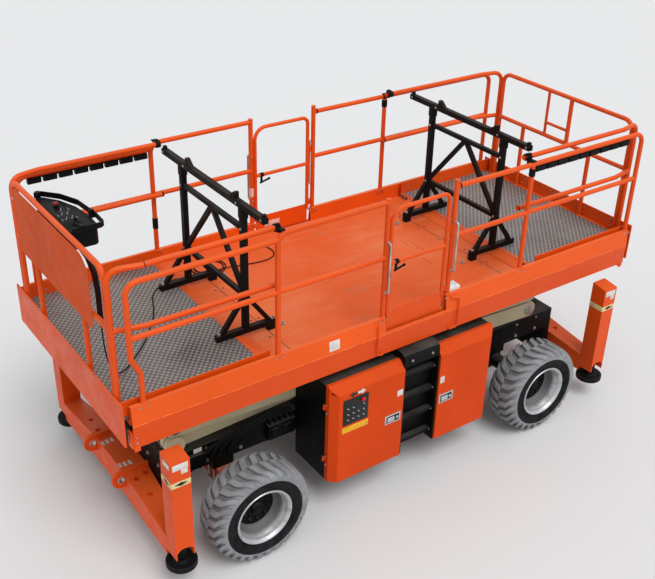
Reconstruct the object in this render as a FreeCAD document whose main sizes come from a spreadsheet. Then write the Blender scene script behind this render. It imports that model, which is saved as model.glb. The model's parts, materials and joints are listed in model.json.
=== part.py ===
import FreeCAD, Part
import math
import os
import re
import Sketcher
from types import SimpleNamespace
from FreeCAD import Placement, Rotation, Vector

# Rough-terrain scissor lift, 10 m class, stowed, in millimetres.
# +X runs along the machine towards the drive axle, -Y is the near side, +Z is up.
# The origin lies on the ground under the middle of the machine.

doc = FreeCAD.newDocument("ScissorLift")

# The driving sizes: alias, value, meaning. A value that follows another is a formula.
SIZE_TABLE = [
    # main platform
    ("beam_half_len", 2445, "half length of the side beams"),
    ("beam_face", 988, "outer face of a side beam from the middle"),
    ("beam_lean", 12, "lean of the beam's skin above and below its crease"),
    ("beam_wall", 8, "sheet thickness of a side beam"),
    ("beam_flange", 45, "width of the beam's top flange"),
    ("beam_top", 1656, "top of a side beam"),
    ("beam_crease", "=beam_top - 151", "crease along a side beam"),
    ("beam_bottom", "=beam_top - 336", "bottom of a side beam"),
    ("floor_top", "=beam_top - 131", "top of the main floor"),
    ("floor_thick", 25, "main floor with its stiffeners"),
    ("cross_depth", 60, "depth of the cross members under the floor"),
    ("cross_width", 70, "width of the cross members under the floor"),
    # extension decks
    ("deck_top", "=floor_top + 35", "top of the mesh floor of an extension deck"),
    ("deck_thick", 25, "thickness of a mesh floor"),
    ("deck_inner_x", "=beam_half_len - 1115", "inner edge of a mesh floor"),
    ("deck_half_width", "=beam_face - beam_flange - 28", "half width of a mesh floor"),
    ("plate_face_x", "=beam_half_len + 59", "outer face of an end plate"),
    ("plate_thick", 12, "thickness of an end plate"),
    ("plate_half_width", "=deck_half_width + 53", "half width of an end plate"),
    ("plate_top", "=beam_top + 28", "top of an end plate"),
    ("plate_bottom", "=beam_bottom + 30", "bottom of an end plate"),
    ("toe_thick", 8, "thickness of a toe board"),
    ("toe_top", "=deck_top + 120", "top of a toe board"),
    ("pad_gap", 0.3, "running gap of a sliding pad"),
    ("pad_len", 100, "length of a sliding pad"),
    ("pad_inset", 8, "sliding pad from the inner edge of its mesh floor"),
    ("pad_width", 60, "width of a sliding pad"),
    # guard rails
    ("rail_radius", 20, "radius of a rail tube"),
    ("rail_bend", 90, "bend radius of a rail"),
    ("main_rail_y", "=beam_face - 33", "rails of the main platform from the middle"),
    ("deck_rail_y", "=deck_half_width - 30", "rails of an extension deck from the middle"),
    ("deck_rail_x", "=plate_face_x - 32.5", "end rail of an extension deck"),
    ("deck_rail_top", 2625, "top rail of an extension deck"),
    ("deck_rail_mid", "=deck_rail_top - 440", "middle rail of an extension deck"),
    ("left_rail_top", 2565, "top rail of the main platform, steer end"),
    ("side_rail_top", 2612, "top rail beside the gate, steer end"),
    ("right_rail_top", 2585, "top rail of the main platform, drive end"),
    ("main_rail_mid", 2165, "middle rail of the main platform"),
    ("left_rail_x", "=beam_half_len - 40", "outer post of the main rail, steer end"),
    ("post_jog", 60, "sideways step in the outer post of a main rail"),
    ("post_jog_z", 1950, "height of that step"),
    ("left_join_x", "=deck_inner_x - 40", "post where two main rails meet"),
    ("deck_rail_in_left", "=deck_inner_x - 98", "inner end of the extension rail, steer end"),
    ("deck_rail_in_right", "=deck_inner_x - 275", "inner end of the extension rail, drive end"),
    ("right_rail_x", "=beam_half_len - 25", "outer post of the main rail, drive end"),
    ("right_post_x", "=deck_inner_x - 230", "middle post of the main rail, drive end"),
    # gates
    ("gate_left", 350, "gate post on the latch side, from the middle"),
    ("gate_right", 300, "gate post on the hinge side, from the middle"),
    ("gate_post_top", 2640, "top of a gate post"),
    ("gate_tube", 16, "radius of a gate tube"),
    ("gate_top", 2545, "top rail of a gate"),
    ("gate_mid", 2105, "middle rail of a gate"),
    ("kick_bottom", "=floor_top + 10", "bottom of the gate's kick plate"),
    ("kick_top", "=kick_bottom + 170", "top of the gate's kick plate"),
    ("kick_thick", 8, "thickness of the kick plate"),
    ("hinge_radius", 10, "radius of a gate hinge barrel"),
    ("hinge_pin", 5, "radius of a gate hinge pin"),
    ("hinge_len", 40, "length of a gate hinge barrel"),
    ("pin_gap", 0.5, "radial gap of a pin in its bore"),
    # scissor stack
    ("arm_pitch", 3700, "pin to pin length of an arm"),
    ("arm_depth", 150, "depth of an arm"),
    ("arm_thick", 50, "thickness of an arm"),
    ("outer_arm_y", 510, "inner face of an outer arm from the middle"),
    ("inner_arm_y", "=outer_arm_y - 65", "inner face of an inner arm from the middle"),
    ("stow_angle", 2.6, "slope of the stowed arms in degrees"),
    ("base_pin_x", 1750, "fixed pins of the stack"),
    ("base_pin_z", 840, "height of the lowest pins"),
    ("pin_radius", 30, "radius of a through pin"),
    ("roller_radius", 80, "radius of a guide roller"),
    ("roller_width", 46, "width of a guide roller"),
    ("bracket_radius", 55, "round end of a pin bracket"),
    ("member_height", 80, "height of a cross member in an inner arm frame"),
    ("member_width", 100, "width of a cross member in an inner arm frame"),
    # lift cylinder
    ("eye_share", 0.42, "place of the cylinder's foot along the lowest inner arm"),
    ("barrel_radius", 62, "radius of the cylinder barrel"),
    ("barrel_len", 1130, "length of the barrel from its foot pin"),
    ("rod_radius", 36, "radius of the piston rod"),
    ("cylinder_pin", 28, "radius of the cylinder's foot pin"),
    # chassis
    ("frame_half_len", 2060, "half length of the chassis frame"),
    ("frame_inner_y", 430, "inner face of a frame rail"),
    ("frame_outer_y", "=frame_inner_y + 140", "outer face of a frame rail"),
    ("frame_bottom", 560, "bottom of a frame rail"),
    ("end_thick", 60, "thickness of the frame's end plates"),
    ("end_bottom", 250, "bottom of the frame's end plates"),
    # outriggers
    ("lug_y", 270, "lug plates from the middle"),
    ("lug_thick", 30, "thickness of a lug plate"),
    ("lug_hole_x", "=outrigger_out_x + 30", "hole of a lug"),
    ("lug_hole_z", "=outrigger_top - 40", "height of the lug's hole"),
    ("lug_radius", 76, "round end of a lug plate"),
    ("lug_hole", 24, "radius of the lug's hole"),
    ("outrigger_in_x", "=frame_half_len", "inner side of the outrigger beam"),
    ("outrigger_out_x", "=outrigger_in_x + 200", "outer side of the outrigger beam"),
    ("outrigger_top", 520, "top of the outrigger beam"),
    ("outrigger_bottom", 290, "bottom of the outrigger beam"),
    ("arm_foot_top", "=outrigger_top - 95", "top of the outrigger arm at its post"),
    ("arm_foot_bottom", "=outrigger_bottom - 40", "bottom of the outrigger arm at its post"),
    ("arm_hole", 22, "radius of the round holes in an outrigger arm's top"),
    ("post_x", "=outrigger_in_x + 123", "jack post from the middle"),
    ("post_y", 1034, "jack post from the middle of the machine"),
    ("post_half", 76, "half width of a jack post"),
    ("post_wall", 10, "wall of a jack post"),
    ("post_top", 1208, "top of a jack post"),
    ("post_bottom", 395, "underside of the guide in a jack post"),
    ("ear_bottom", 300, "bottom of the two ears of a jack post"),
    ("post_cap", 20, "slope of the cap on a jack post"),
    ("jack_radius", 45, "radius of a jack leg"),
    ("foot_radius", 118, "radius of a jack foot"),
    ("foot_bottom", 185, "underside of a raised jack foot"),
    ("foot_thick", 40, "thickness of a jack foot"),
    # axles and wheels
    ("steer_axle_x", -1554, "steer axle"),
    ("drive_axle_x", 1372, "drive axle"),
    ("wheel_radius", 419, "outer radius of a tyre"),
    ("tread_depth", 34, "height of the tread lugs"),
    ("wheel_outer_y", 1200, "outer side of a tyre"),
    ("tyre_width", 320, "width of a tyre"),
    ("rim_radius", 222, "radius of a rim"),
    ("rim_lip", 14, "height of a rim's lip over the tyre's bead"),
    ("rim_disc_y", 1035, "wheel disc from the middle"),
    ("lug_count", 20, "tread lugs on each half of a tyre"),
    ("lug_width", 42, "width of a tread lug"),
    ("lug_slant", 30, "slant of a tread lug across the tyre"),
    ("hub_radius", 78, "radius of a wheel hub"),
    ("axle_half", 66, "half depth of an axle beam"),
    ("spindle_radius", 35, "radius of a wheel spindle"),
    ("drive_tube_half", 880, "half length of the drive axle's tubes"),
    ("drive_case", 150, "radius of the drive axle's casing"),
    ("kingpin_y", 790, "kingpins from the middle"),
    ("kingpin_radius", 28, "radius of a kingpin"),
    # side trays and hoods
    ("hood_face", 1083, "outer face of a hood from the middle"),
    ("hood_depth", 100, "depth of a hood door"),
    ("hood_wall", 12, "sheet thickness of a hood door"),
    ("hood_chamfer", 70, "chamfer along a hood's edges"),
    ("hood_top", 1240, "top of the hoods"),
    ("hood_bottom", 330, "bottom of the hoods"),
    ("left_hood_out", 878, "outer edge of the steer end hood"),
    ("left_hood_in", 182, "inner edge of the steer end hood"),
    ("right_hood_in", 182, "inner edge of the drive end hood"),
    ("right_hood_out", 795, "outer edge of the drive end hood"),
    ("tray_wall", 12, "sheet thickness of a side tray"),
    ("tray_gap", 6, "gap between a tray and its hood door"),
    ("hinge_low", 520, "height of a hood's lower hinge"),
    ("hinge_high", 1020, "height of a hood's upper hinge"),
    ("engine_top", 930, "top of the engine"),
    ("step_count", 4, "rungs of a ladder"),
    ("step_pitch", 215, "spacing of the rungs"),
    ("step_first", 420, "height of the lowest rung"),
    # pipe racks
    ("rack_tube", 45, "side of a rack's square tube"),
    ("rack_brace", 34, "side of a rack's braces"),
    ("rack_x", "=deck_inner_x - 68", "pipe racks from the middle"),
    ("rack_leg_y", 455, "rack legs from the middle"),
    ("rack_joint", 300, "height of the joint of leg and braces above the foot"),
    ("rack_drop", 180, "upper rung of a rack below its top beam"),
    ("rack_stop_y", 350, "stop block on a rack's top beam"),
    ("rack_stop", 95, "height of a stop block"),
    ("rack_foot_half", 255, "half length of a rack foot"),
    ("rack_top", 2640, "top of a rack"),
    ("rack_half_len", 760, "half length of a rack's top beam"),
    # steer end controls
    ("panel_left_y", 740, "far edge of the end panel"),
    ("panel_right_y", 600, "near edge of the end panel"),
    ("panel_top", "=deck_rail_top - 20", "top of the end panel"),
    ("panel_bottom", "=panel_top - 520", "bottom of the end panel"),
    ("panel_round", 150, "round corner of the end panel"),
    ("console_far_y", 370, "far end of the control console"),
    ("console_near_y", 245, "near end of the control console"),
    ("console_depth", 205, "depth of the control console"),
    ("console_bottom", "=console_top - 140", "bottom of the control console"),
    ("console_top", "=deck_rail_top + 15", "top of the control console"),
    ("band_gap", 28, "gap between the console and its guard band"),
    ("band_thick", 8, "thickness of the guard band"),
    ("band_top", "=console_top + 32", "top of the guard band"),
    ("guard_thick", 20, "thickness of the guard at the cable's outlet"),
    ("cable_radius", 5, "radius of the control cable"),
    ("plug_radius", 14, "radius of the cable's plug"),
    ("plug_len", 60, "length of the cable's plug"),
    # trim of the rails
    ("pad_block", 104, "length of a rubber block under a top rail"),
    ("pad_pitch", 126, "spacing of the rubber blocks"),
    ("pad_depth", 46, "depth of a rubber block"),
    ("pads_right", 9, "rubber blocks on the near side, drive end"),
    ("pads_right_x", "=right_post_x + 25", "start of that row"),
    ("pads_left", 8, "rubber blocks on the far side, steer end"),
    ("pads_left_x", "=-left_rail_x + 93", "start of that row"),
    ("handle_rod", 8, "radius of a grab handle"),
    ("handle_top", 2300, "top of a grab handle"),
    ("handle_bottom", 1880, "bottom of a grab handle"),
    ("handle_off", 55, "stand-off of a grab handle from its post"),
    ("loop_rod", 7, "radius of a climbing loop"),
]
sizes = doc.addObject("Spreadsheet::Sheet", "Sizes")
for row, (alias, value, meaning) in enumerate(SIZE_TABLE, 1):
    sizes.set(f"A{row}", meaning)
    sizes.setAlias(f"B{row}", alias)
for row, (alias, value, meaning) in enumerate(SIZE_TABLE, 1):
    sizes.set(f"B{row}", str(value))
doc.recompute()
ALIASES = [alias for alias, value, meaning in SIZE_TABLE]
dim = SimpleNamespace(**{alias: float(sizes.get(alias)) for alias in ALIASES})

NEAR, FAR = -1, 1
NODES = {}


# Building blocks

def bound(text):
    """An expression with each alias pointed at the sheet."""
    return re.sub(r"[a-z][a-z0-9_]*", lambda word: f"Sizes.{word.group(0)}" if word.group(0) in ALIASES
                  else word.group(0), str(text))


def bind(obj, **expressions):
    for place, text in expressions.items():
        obj.setExpression(place.replace("__", "."), bound(text))
    return obj


def put(obj, x="0", y="0", z="0"):
    return bind(obj, Placement__Base__x=x, Placement__Base__y=y, Placement__Base__z=z)


def box(name, x, y, z):
    """A box between two expressions on each axis."""
    part = doc.addObject("Part::Box", name)
    bind(part, Length=f"({x[1]})-({x[0]})", Width=f"({y[1]})-({y[0]})", Height=f"({z[1]})-({z[0]})")
    return put(part, x[0], y[0], z[0])


TURNS = {"x": Rotation(Vector(0, 1, 0), 90), "y": Rotation(Vector(1, 0, 0), -90), "z": Rotation()}


def rod(name, axis, radius, span, at):
    """A cylinder along an axis, over a span of it, at the other two coordinates."""
    part = doc.addObject("Part::Cylinder", name)
    part.Placement = Placement(Vector(), TURNS[axis])
    bind(part, Radius=radius, Height=f"({span[1]})-({span[0]})")
    places = {"x": (span[0], at[0], at[1]), "y": (at[0], span[0], at[1]), "z": (at[0], at[1], span[0])}
    return put(part, *places[axis])


def joined(name, *parts):
    part = doc.addObject("Part::MultiFuse", name)
    part.Shapes = list(parts)
    part.Refine = True
    return part


def cut(name, base, *tools):
    part = doc.addObject("Part::Cut", name)
    part.Base = base
    part.Tool = tools[0] if len(tools) == 1 else joined(f"{name}_tools", *tools)
    part.Refine = True
    return part


def mirrored(part, axis="y"):
    copy = doc.addObject("Part::Mirroring", f"{part.Name}_{axis}")
    copy.Source = part
    copy.Normal = Vector(1, 0, 0) if axis == "x" else Vector(0, 1, 0)
    return copy


def both(part, axis="y"):
    return [part, mirrored(part, axis)]


PLANES = {"XY": "XY_Plane", "XZ": "XZ_Plane", "YZ": "YZ_Plane"}


def outlined(name, plane, points):
    """A body with one sketch: a closed outline whose corners are bound to the sheet."""
    body = doc.addObject("PartDesign::Body", name)
    sketch = body.newObject("Sketcher::SketchObject", f"{name}_outline")
    base = [item for item in body.Origin.OriginFeatures if item.Role == PLANES[plane]][0]
    sketch.AttachmentSupport = [(base, "")]
    sketch.MapMode = "FlatFace"
    count = len(points)
    ring = [Vector(math.cos(2 * math.pi * k / count), math.sin(2 * math.pi * k / count), 0) * 500
            for k in range(count)]
    for k in range(count):
        sketch.addGeometry(Part.LineSegment(ring[k], ring[(k + 1) % count]), False)
    for k in range(count):
        sketch.addConstraint(Sketcher.Constraint("Coincident", k, 2, (k + 1) % count, 1))
    for k, (across, up) in enumerate(points):
        for kind, text, start in (("DistanceX", across, ring[k].x), ("DistanceY", up, ring[k].y)):
            place = sketch.addConstraint(Sketcher.Constraint(kind, -1, 1, k, 1, start))
            sketch.setExpression(f"Constraints[{place}]", bound(text))
    return body, sketch


def padded(name, plane, points, low, high):
    """An outline padded between two distances along its plane's normal: +X, +Z, or -Y for XZ."""
    body, sketch = outlined(name, plane, points)
    bind(sketch, AttachmentOffset__Base__z=low)
    pad = body.newObject("PartDesign::Pad", f"{name}_pad")
    pad.Profile = sketch
    bind(pad, Length=f"({high})-({low})")
    return body


def turned(name, points):
    """An outline of (radius, place along Y) turned about the Y axis."""
    body, sketch = outlined(name, "XY", points)
    turn = body.newObject("PartDesign::Revolution", f"{name}_turn")
    turn.Profile = sketch
    turn.ReferenceAxis = (sketch, ["V_Axis"])
    turn.Angle = 360
    return body


def node(label, part):
    part.Label = label
    NODES[label] = part
    return part


def solid_node(label, shape, place=None):
    """A node whose shape comes from Part's own functions."""
    part = doc.addObject("Part::Feature", label)
    part.Shape = shape
    if place is not None:
        part.Placement = place.multiply(part.Placement)
    return node(label, part)


def arc_path(points, bend):
    """A wire of straight runs joined by tangent arcs; bend is one radius or one for each corner."""
    bends = bend if isinstance(bend, (list, tuple)) else [bend] * (len(points) - 2)
    edges, start = [], points[0]
    for k in range(1, len(points) - 1):
        before = (points[k - 1] - points[k]).normalize()
        after = (points[k + 1] - points[k]).normalize()
        half = before.getAngle(after) / 2
        reach = bends[k - 1] / math.tan(half)
        centre = points[k] + (before + after).normalize() * (bends[k - 1] / math.sin(half))
        enter, leave = points[k] + before * reach, points[k] + after * reach
        middle = centre + (points[k] - centre).normalize() * bends[k - 1]
        if (enter - start).Length > 1e-6:
            edges.append(Part.LineSegment(start, enter).toShape())
        edges.append(Part.Arc(enter, middle, leave).toShape())
        start = leave
    edges.append(Part.LineSegment(start, points[-1]).toShape())
    return Part.Wire(edges)


def tube(points, radius, bend=0):
    """A round bar along a route."""
    points = [Vector(*p) for p in points]
    if len(points) == 2:
        line = points[1] - points[0]
        return Part.makeCylinder(radius, line.Length, points[0], line)
    path = arc_path(points, bend)
    ring = Part.Wire([Part.Circle(points[0], points[1] - points[0], radius).toShape()])
    return path.makePipeShell([ring], True, True)


def beam(start, end, width, depth=None, up=Vector(0, 0, 1)):
    """A square bar from one point to another."""
    start, end = Vector(*start), Vector(*end)
    depth = depth or width
    along = (end - start).normalize()
    side = along.cross(up).normalize()
    top = side.cross(along)
    corners = [start + side * (a * width / 2) + top * (b * depth / 2)
               for a, b in ((-1, -1), (1, -1), (1, 1), (-1, 1), (-1, -1))]
    return Part.Face(Part.makePolygon(corners)).extrude(end - start)


def plate(points, thickness):
    """A flat plate through points, thickened along a vector."""
    points = [Vector(*p) for p in points]
    return Part.Face(Part.makePolygon(points + points[:1])).extrude(thickness)


def fuse(shapes):
    return shapes[0].multiFuse(shapes[1:]).removeSplitter() if len(shapes) > 1 else shapes[0]


def flip(shape, axis="y"):
    return shape.mirror(Vector(), Vector(0, 1, 0) if axis == "y" else Vector(1, 0, 0))


# Places worked out from the sheet

RISE = "(arm_pitch*sin(stow_angle))"
STACK_LEFT = "(base_pin_x-arm_pitch*cos(stow_angle))"
TOP_PIN_Z = f"(base_pin_z+3*{RISE})"
TRACK_UNDER = f"({TOP_PIN_Z}+roller_radius+pad_gap)"
FRAME_TOP = "(base_pin_z-roller_radius-pad_gap)"
FLOOR_UNDER = "(floor_top-floor_thick)"
INNER_WALL = "(beam_face-beam_flange)"
rise = dim.arm_pitch * math.sin(math.radians(dim.stow_angle))
stack_left = dim.base_pin_x - dim.arm_pitch * math.cos(math.radians(dim.stow_angle))


# Main platform: side beams with a notch for the gates

side_beam = padded("side_beam_section", "YZ", [
    ("-(beam_face-beam_lean)", "beam_top"),
    ("-beam_face", "beam_crease"),
    ("-(beam_face-beam_lean)", "beam_bottom"),
    (f"-{INNER_WALL}", "beam_bottom"),
    (f"-{INNER_WALL}", "beam_bottom+beam_wall"),
    ("-(beam_face-beam_lean-beam_wall)", "beam_bottom+beam_wall"),
    ("-(beam_face-beam_wall)", "beam_crease"),
    ("-(beam_face-beam_lean-beam_wall)", "beam_top-beam_wall"),
    (f"-({INNER_WALL}+beam_wall)", "beam_top-beam_wall"),
    (f"-({INNER_WALL}+beam_wall)", FLOOR_UNDER),
    (f"-{INNER_WALL}", FLOOR_UNDER),
    (f"-{INNER_WALL}", "beam_top"),
], "-beam_half_len", "beam_half_len")
notch = box("gate_notch", ("-(gate_left-rail_radius)", "gate_right-rail_radius"),
            ("-beam_face-1", f"-{INNER_WALL}+1"), ("floor_top", "beam_top+1"))
side_beam_bare = cut("side_beam_cut", side_beam, notch)
doc.recompute()


def climbing_loop(low_x, high_x):
    """A bent rod on the beam's face beside a gate post, for the hand of someone on the steps."""
    y, top, bottom, end = -(dim.beam_face + dim.loop_rod + 6), dim.beam_top - 16, dim.beam_bottom + 24, 60
    rod_path = tube([(low_x, y, top), (high_x, y, top - end / 2), (high_x, y, bottom), (low_x, y, bottom)],
                    dim.loop_rod, [22, 30])
    stubs = [Part.makeCylinder(dim.loop_rod, -y - dim.beam_face + 2 * dim.beam_lean,
                               Vector(low_x, y, height), Vector(0, 1, 0)) for height in (top, bottom)]
    balls = [Part.makeSphere(dim.loop_rod, Vector(low_x, y, height)) for height in (top, bottom)]
    return fuse([rod_path, *stubs, *balls])


near_beam = fuse([side_beam_bare.Shape, climbing_loop(dim.gate_right + 20, dim.gate_right + 104),
                  climbing_loop(-dim.gate_left - 12, -dim.gate_left - 62)])
solid_node("side_beam_near", near_beam)
solid_node("side_beam_far", flip(near_beam))

node("main_floor", box("main_floor", ("-beam_half_len", "beam_half_len"),
                       (f"-{INNER_WALL}", INNER_WALL), (FLOOR_UNDER, "floor_top")))


# Platform underframe: end channels, cross members, roller tracks and the fixed brackets

UNDER_CROSSES = ("-1500", "-500", "500", "1400")
under_parts = []
for place in UNDER_CROSSES:
    under_parts.append(box("under_cross", (f"{place}-cross_width/2", f"{place}+cross_width/2"),
                           (f"-{INNER_WALL}", INNER_WALL), (f"{FLOOR_UNDER}-cross_depth", FLOOR_UNDER)))
end_channel = box("end_channel", ("beam_half_len-cross_width", "beam_half_len"),
                  (f"-{INNER_WALL}", INNER_WALL), ("beam_bottom+beam_wall", FLOOR_UNDER))
under_parts += both(end_channel, "x")
track = box("platform_track", (f"{STACK_LEFT}-150", "base_pin_x+150"),
            ("-(outer_arm_y+arm_thick+10)", "-(inner_arm_y-5)"), (TRACK_UNDER, FLOOR_UNDER))
bracket = box("top_bracket", ("base_pin_x-bracket_radius", "base_pin_x+bracket_radius"),
              ("-(outer_arm_y+arm_thick)", "-outer_arm_y"), (TOP_PIN_Z, TRACK_UNDER))
bracket_end = rod("top_bracket_end", "y", "bracket_radius", ("-(outer_arm_y+arm_thick)", "-outer_arm_y"),
                  ("base_pin_x", TOP_PIN_Z))
top_pin = rod("top_pin", "y", "pin_radius", ("-(outer_arm_y+arm_thick)", "-(inner_arm_y-5)"),
              ("base_pin_x", TOP_PIN_Z))
for part in (track, bracket, bracket_end, top_pin):
    under_parts += both(part)
node("platform_underframe", joined("platform_underframe", *under_parts))


# Extension decks: mesh floor, end plate with toe boards, sliding pads

DECK_UNDER = "(deck_top-deck_thick)"
PLATE_INNER = "(plate_face_x-plate_thick)"
mesh_floor = box("mesh_floor", ("deck_inner_x", PLATE_INNER), ("-deck_half_width", "deck_half_width"),
                 (DECK_UNDER, "deck_top"))
slide_pad = box("deck_slide_pad", ("deck_inner_x+pad_inset", "deck_inner_x+pad_inset+pad_len"),
                ("-(deck_half_width-30)", "-(deck_half_width-30-pad_width)"),
                ("floor_top+pad_gap", DECK_UNDER))
deck_right = node("extension_floor_right", joined("extension_floor", mesh_floor, *both(slide_pad)))
node("extension_floor_left", mirrored(deck_right, "x"))
rest_pad = box("floor_slide_pad", ("beam_half_len-pad_len", "beam_half_len"),
               ("-(deck_half_width-30)", "-(deck_half_width-30-pad_width)"), ("floor_top",
                                                                              f"{DECK_UNDER}-pad_gap"))
node("slide_pads", joined("slide_pads", *[part for near in both(rest_pad) for part in both(near, "x")]))

end_plate = box("end_plate", (PLATE_INNER, "plate_face_x"), ("-plate_half_width", "plate_half_width"),
                ("plate_bottom", "plate_top"))
toe_board = box("toe_board", ("deck_inner_x", PLATE_INNER),
                ("-deck_half_width", "-(deck_half_width-toe_thick)"),
                ("deck_top", "toe_top"))
plate_right = node("end_plate_right", joined("end_plate_right", end_plate, *both(toe_board)))
node("end_plate_left", mirrored(plate_right, "x"))


# Guard rails of the main platform, one side

rail_y = -dim.main_rail_y
bend = dim.rail_bend


def straight(start, end):
    return tube([start, end], dim.rail_radius)


def side_rails():
    left, join = -dim.left_rail_x, -dim.left_join_x
    gate_l, gate_r = -dim.gate_left, dim.gate_right
    right = dim.right_rail_x
    shapes = [
        tube([(left + dim.post_jog, rail_y, dim.beam_top),
              (left + dim.post_jog, rail_y, dim.post_jog_z - dim.post_jog),
              (left, rail_y, dim.post_jog_z + dim.post_jog), (left, rail_y, dim.left_rail_top),
              (join, rail_y, dim.left_rail_top)], dim.rail_radius, [bend, bend, bend]),
        straight((join, rail_y, dim.beam_top), (join, rail_y, dim.side_rail_top - bend)),
        tube([(join, rail_y, dim.side_rail_top - bend), (join, rail_y, dim.side_rail_top),
              (gate_l, rail_y, dim.side_rail_top)], dim.rail_radius, bend * 0.9),
        straight((gate_l, rail_y, dim.beam_top), (gate_l, rail_y, dim.gate_post_top)),
        straight((gate_r, rail_y, dim.beam_top), (gate_r, rail_y, dim.gate_post_top)),
        tube([(gate_r, rail_y, dim.right_rail_top), (right, rail_y, dim.right_rail_top),
              (right, rail_y, dim.beam_top)], dim.rail_radius, bend),
        straight((dim.right_post_x, rail_y, dim.beam_top), (dim.right_post_x, rail_y, dim.right_rail_top)),
    ]
    for start, end in ((left, join), (join, gate_l), (gate_r, right)):
        shapes.append(straight((start, rail_y, dim.main_rail_mid), (end, rail_y, dim.main_rail_mid)))
    hinge_x = gate_r - dim.rail_radius - 12
    for height in (dim.kick_top, dim.gate_mid + 120):
        lug = Part.makeBox(30, 16, 10, Vector(hinge_x - 8, rail_y - 8, height - 10 - dim.pad_gap))
        shapes.append(lug.fuse(Part.makeCylinder(dim.hinge_pin, dim.hinge_len,
                                                 Vector(hinge_x, rail_y, height - 5))))
    return fuse(shapes)


near_rails = side_rails()
solid_node("side_rails_near", near_rails)
solid_node("side_rails_far", flip(near_rails))


# Gates, hinged at the post towards the drive end

def gate():
    hinge_x = dim.gate_right - dim.rail_radius - 12
    low_x = -(dim.gate_left - dim.rail_radius - 5 - dim.gate_tube)
    high_x = hinge_x - dim.hinge_radius - 2 - dim.gate_tube
    bottom = dim.kick_top - 40
    shapes = [
        tube([(high_x, rail_y, bottom), (high_x, rail_y, dim.gate_top), (low_x, rail_y, dim.gate_top),
              (low_x, rail_y, bottom)], dim.gate_tube, [60, 110]),
        tube([(low_x, rail_y, dim.gate_mid), (high_x, rail_y, dim.gate_mid)], dim.gate_tube),
        Part.makeBox(high_x - low_x, dim.kick_thick, dim.kick_top - dim.kick_bottom,
                     Vector(low_x, rail_y - dim.kick_thick / 2, dim.kick_bottom)),
    ]
    for height in (dim.kick_top, dim.gate_mid + 120):
        barrel = Part.makeCylinder(dim.hinge_radius, dim.hinge_len, Vector(hinge_x, rail_y, height))
        leaf = Part.makeBox(hinge_x - high_x, 8, dim.hinge_len, Vector(high_x, rail_y - 4, height))
        bore = Part.makeCylinder(dim.hinge_pin + dim.pin_gap, dim.hinge_len, Vector(hinge_x, rail_y, height))
        shapes.append(barrel.fuse(leaf).cut(bore))
    return fuse(shapes)


near_gate = gate()
solid_node("gate_near", near_gate)
solid_node("gate_far", flip(near_gate))


# Guard rails of the extension decks

def deck_rails(side, inner_x, end_posts):
    """side is -1 at the steer end; end_posts are (place, foot, head) of the end rail's posts."""
    end_x, y = side * dim.deck_rail_x, dim.deck_rail_y
    start_x = side * inner_x
    shapes = []
    for height in (dim.deck_rail_top, dim.deck_rail_mid):
        shapes.append(tube([(start_x, -y, height), (end_x, -y, height), (end_x, y, height),
                            (start_x, y, height)], dim.rail_radius, bend))
    corner_x = end_x - side * bend
    for sign in (NEAR, FAR):
        for post_x in (start_x + side * (dim.deck_inner_x - inner_x + 40), corner_x):
            shapes.append(straight((post_x, sign * y, dim.deck_top), (post_x, sign * y, dim.deck_rail_top)))
        for height in (dim.deck_rail_top, dim.deck_rail_mid):
            shapes.append(Part.makeSphere(dim.rail_radius, Vector(start_x, sign * y, height)))
    for post_y, foot_z, head_z in end_posts:
        shapes.append(straight((end_x, post_y, foot_z), (end_x, post_y, head_z)))
    if side > 0:
        rung_z = dim.deck_rail_mid + 125
        shapes.append(tube([(end_x, end_posts[-2][0], rung_z), (end_x, end_posts[-1][0], rung_z)],
                           dim.rail_radius - 4))
    return fuse(shapes)


deck, middle, top = dim.deck_top, dim.deck_rail_mid, dim.deck_rail_top
LEFT_POSTS = ((-760, deck, top), (-390, deck, middle), (468, deck, middle), (760, deck, top))
RIGHT_POSTS = ((-760, deck, top), (-376, deck, middle), (376, deck, middle), (760, deck, top),
               (-90, middle, top), (190, middle, top))
solid_node("extension_rails_left", deck_rails(-1, dim.deck_rail_in_left, LEFT_POSTS))
solid_node("extension_rails_right", deck_rails(1, dim.deck_rail_in_right, RIGHT_POSTS))


# Trim of the rails: rubber blocks under two top rails, and bright grab rods at the gates

def pad_row(start_x, count, rail_top):
    """A strip under a top rail on the near side, with blocks that hang from it like teeth."""
    under = rail_top - dim.rail_radius - dim.pad_gap
    length = dim.pad_pitch * (count - 1) + dim.pad_block
    shapes = [Part.makeBox(length, 30, 8, Vector(start_x, rail_y - 15, under - 8))]
    for k in range(int(count)):
        corner = Vector(start_x + k * dim.pad_pitch, rail_y - 20, under - 4 - dim.pad_depth)
        block = Part.makeBox(dim.pad_block, 40, dim.pad_depth, corner)
        low_edges = [edge for edge in block.Edges
                     if edge.BoundBox.ZMax < under - dim.pad_depth and edge.Length > 50]
        shapes.append(block.makeChamfer(9, low_edges))
    return fuse(shapes)


solid_node("rail_pads", Part.makeCompound([
    pad_row(dim.pads_right_x, dim.pads_right, dim.right_rail_top),
    flip(pad_row(dim.pads_left_x, dim.pads_left, dim.left_rail_top)),
]))


def grab_handle(x):
    seat = rail_y - dim.rail_radius - dim.pad_gap
    out = rail_y - dim.handle_off
    return tube([(x, seat, dim.handle_top), (x, out, dim.handle_top), (x, out, dim.handle_bottom),
                 (x, seat, dim.handle_bottom)], dim.handle_rod, 22)


near_handles = [grab_handle(-dim.gate_left), grab_handle(dim.gate_right)]
solid_node("grab_handles", Part.makeCompound(near_handles + [flip(shape) for shape in near_handles]))


# Scissor arm frames: local X runs along the arm from its lower pin

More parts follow.
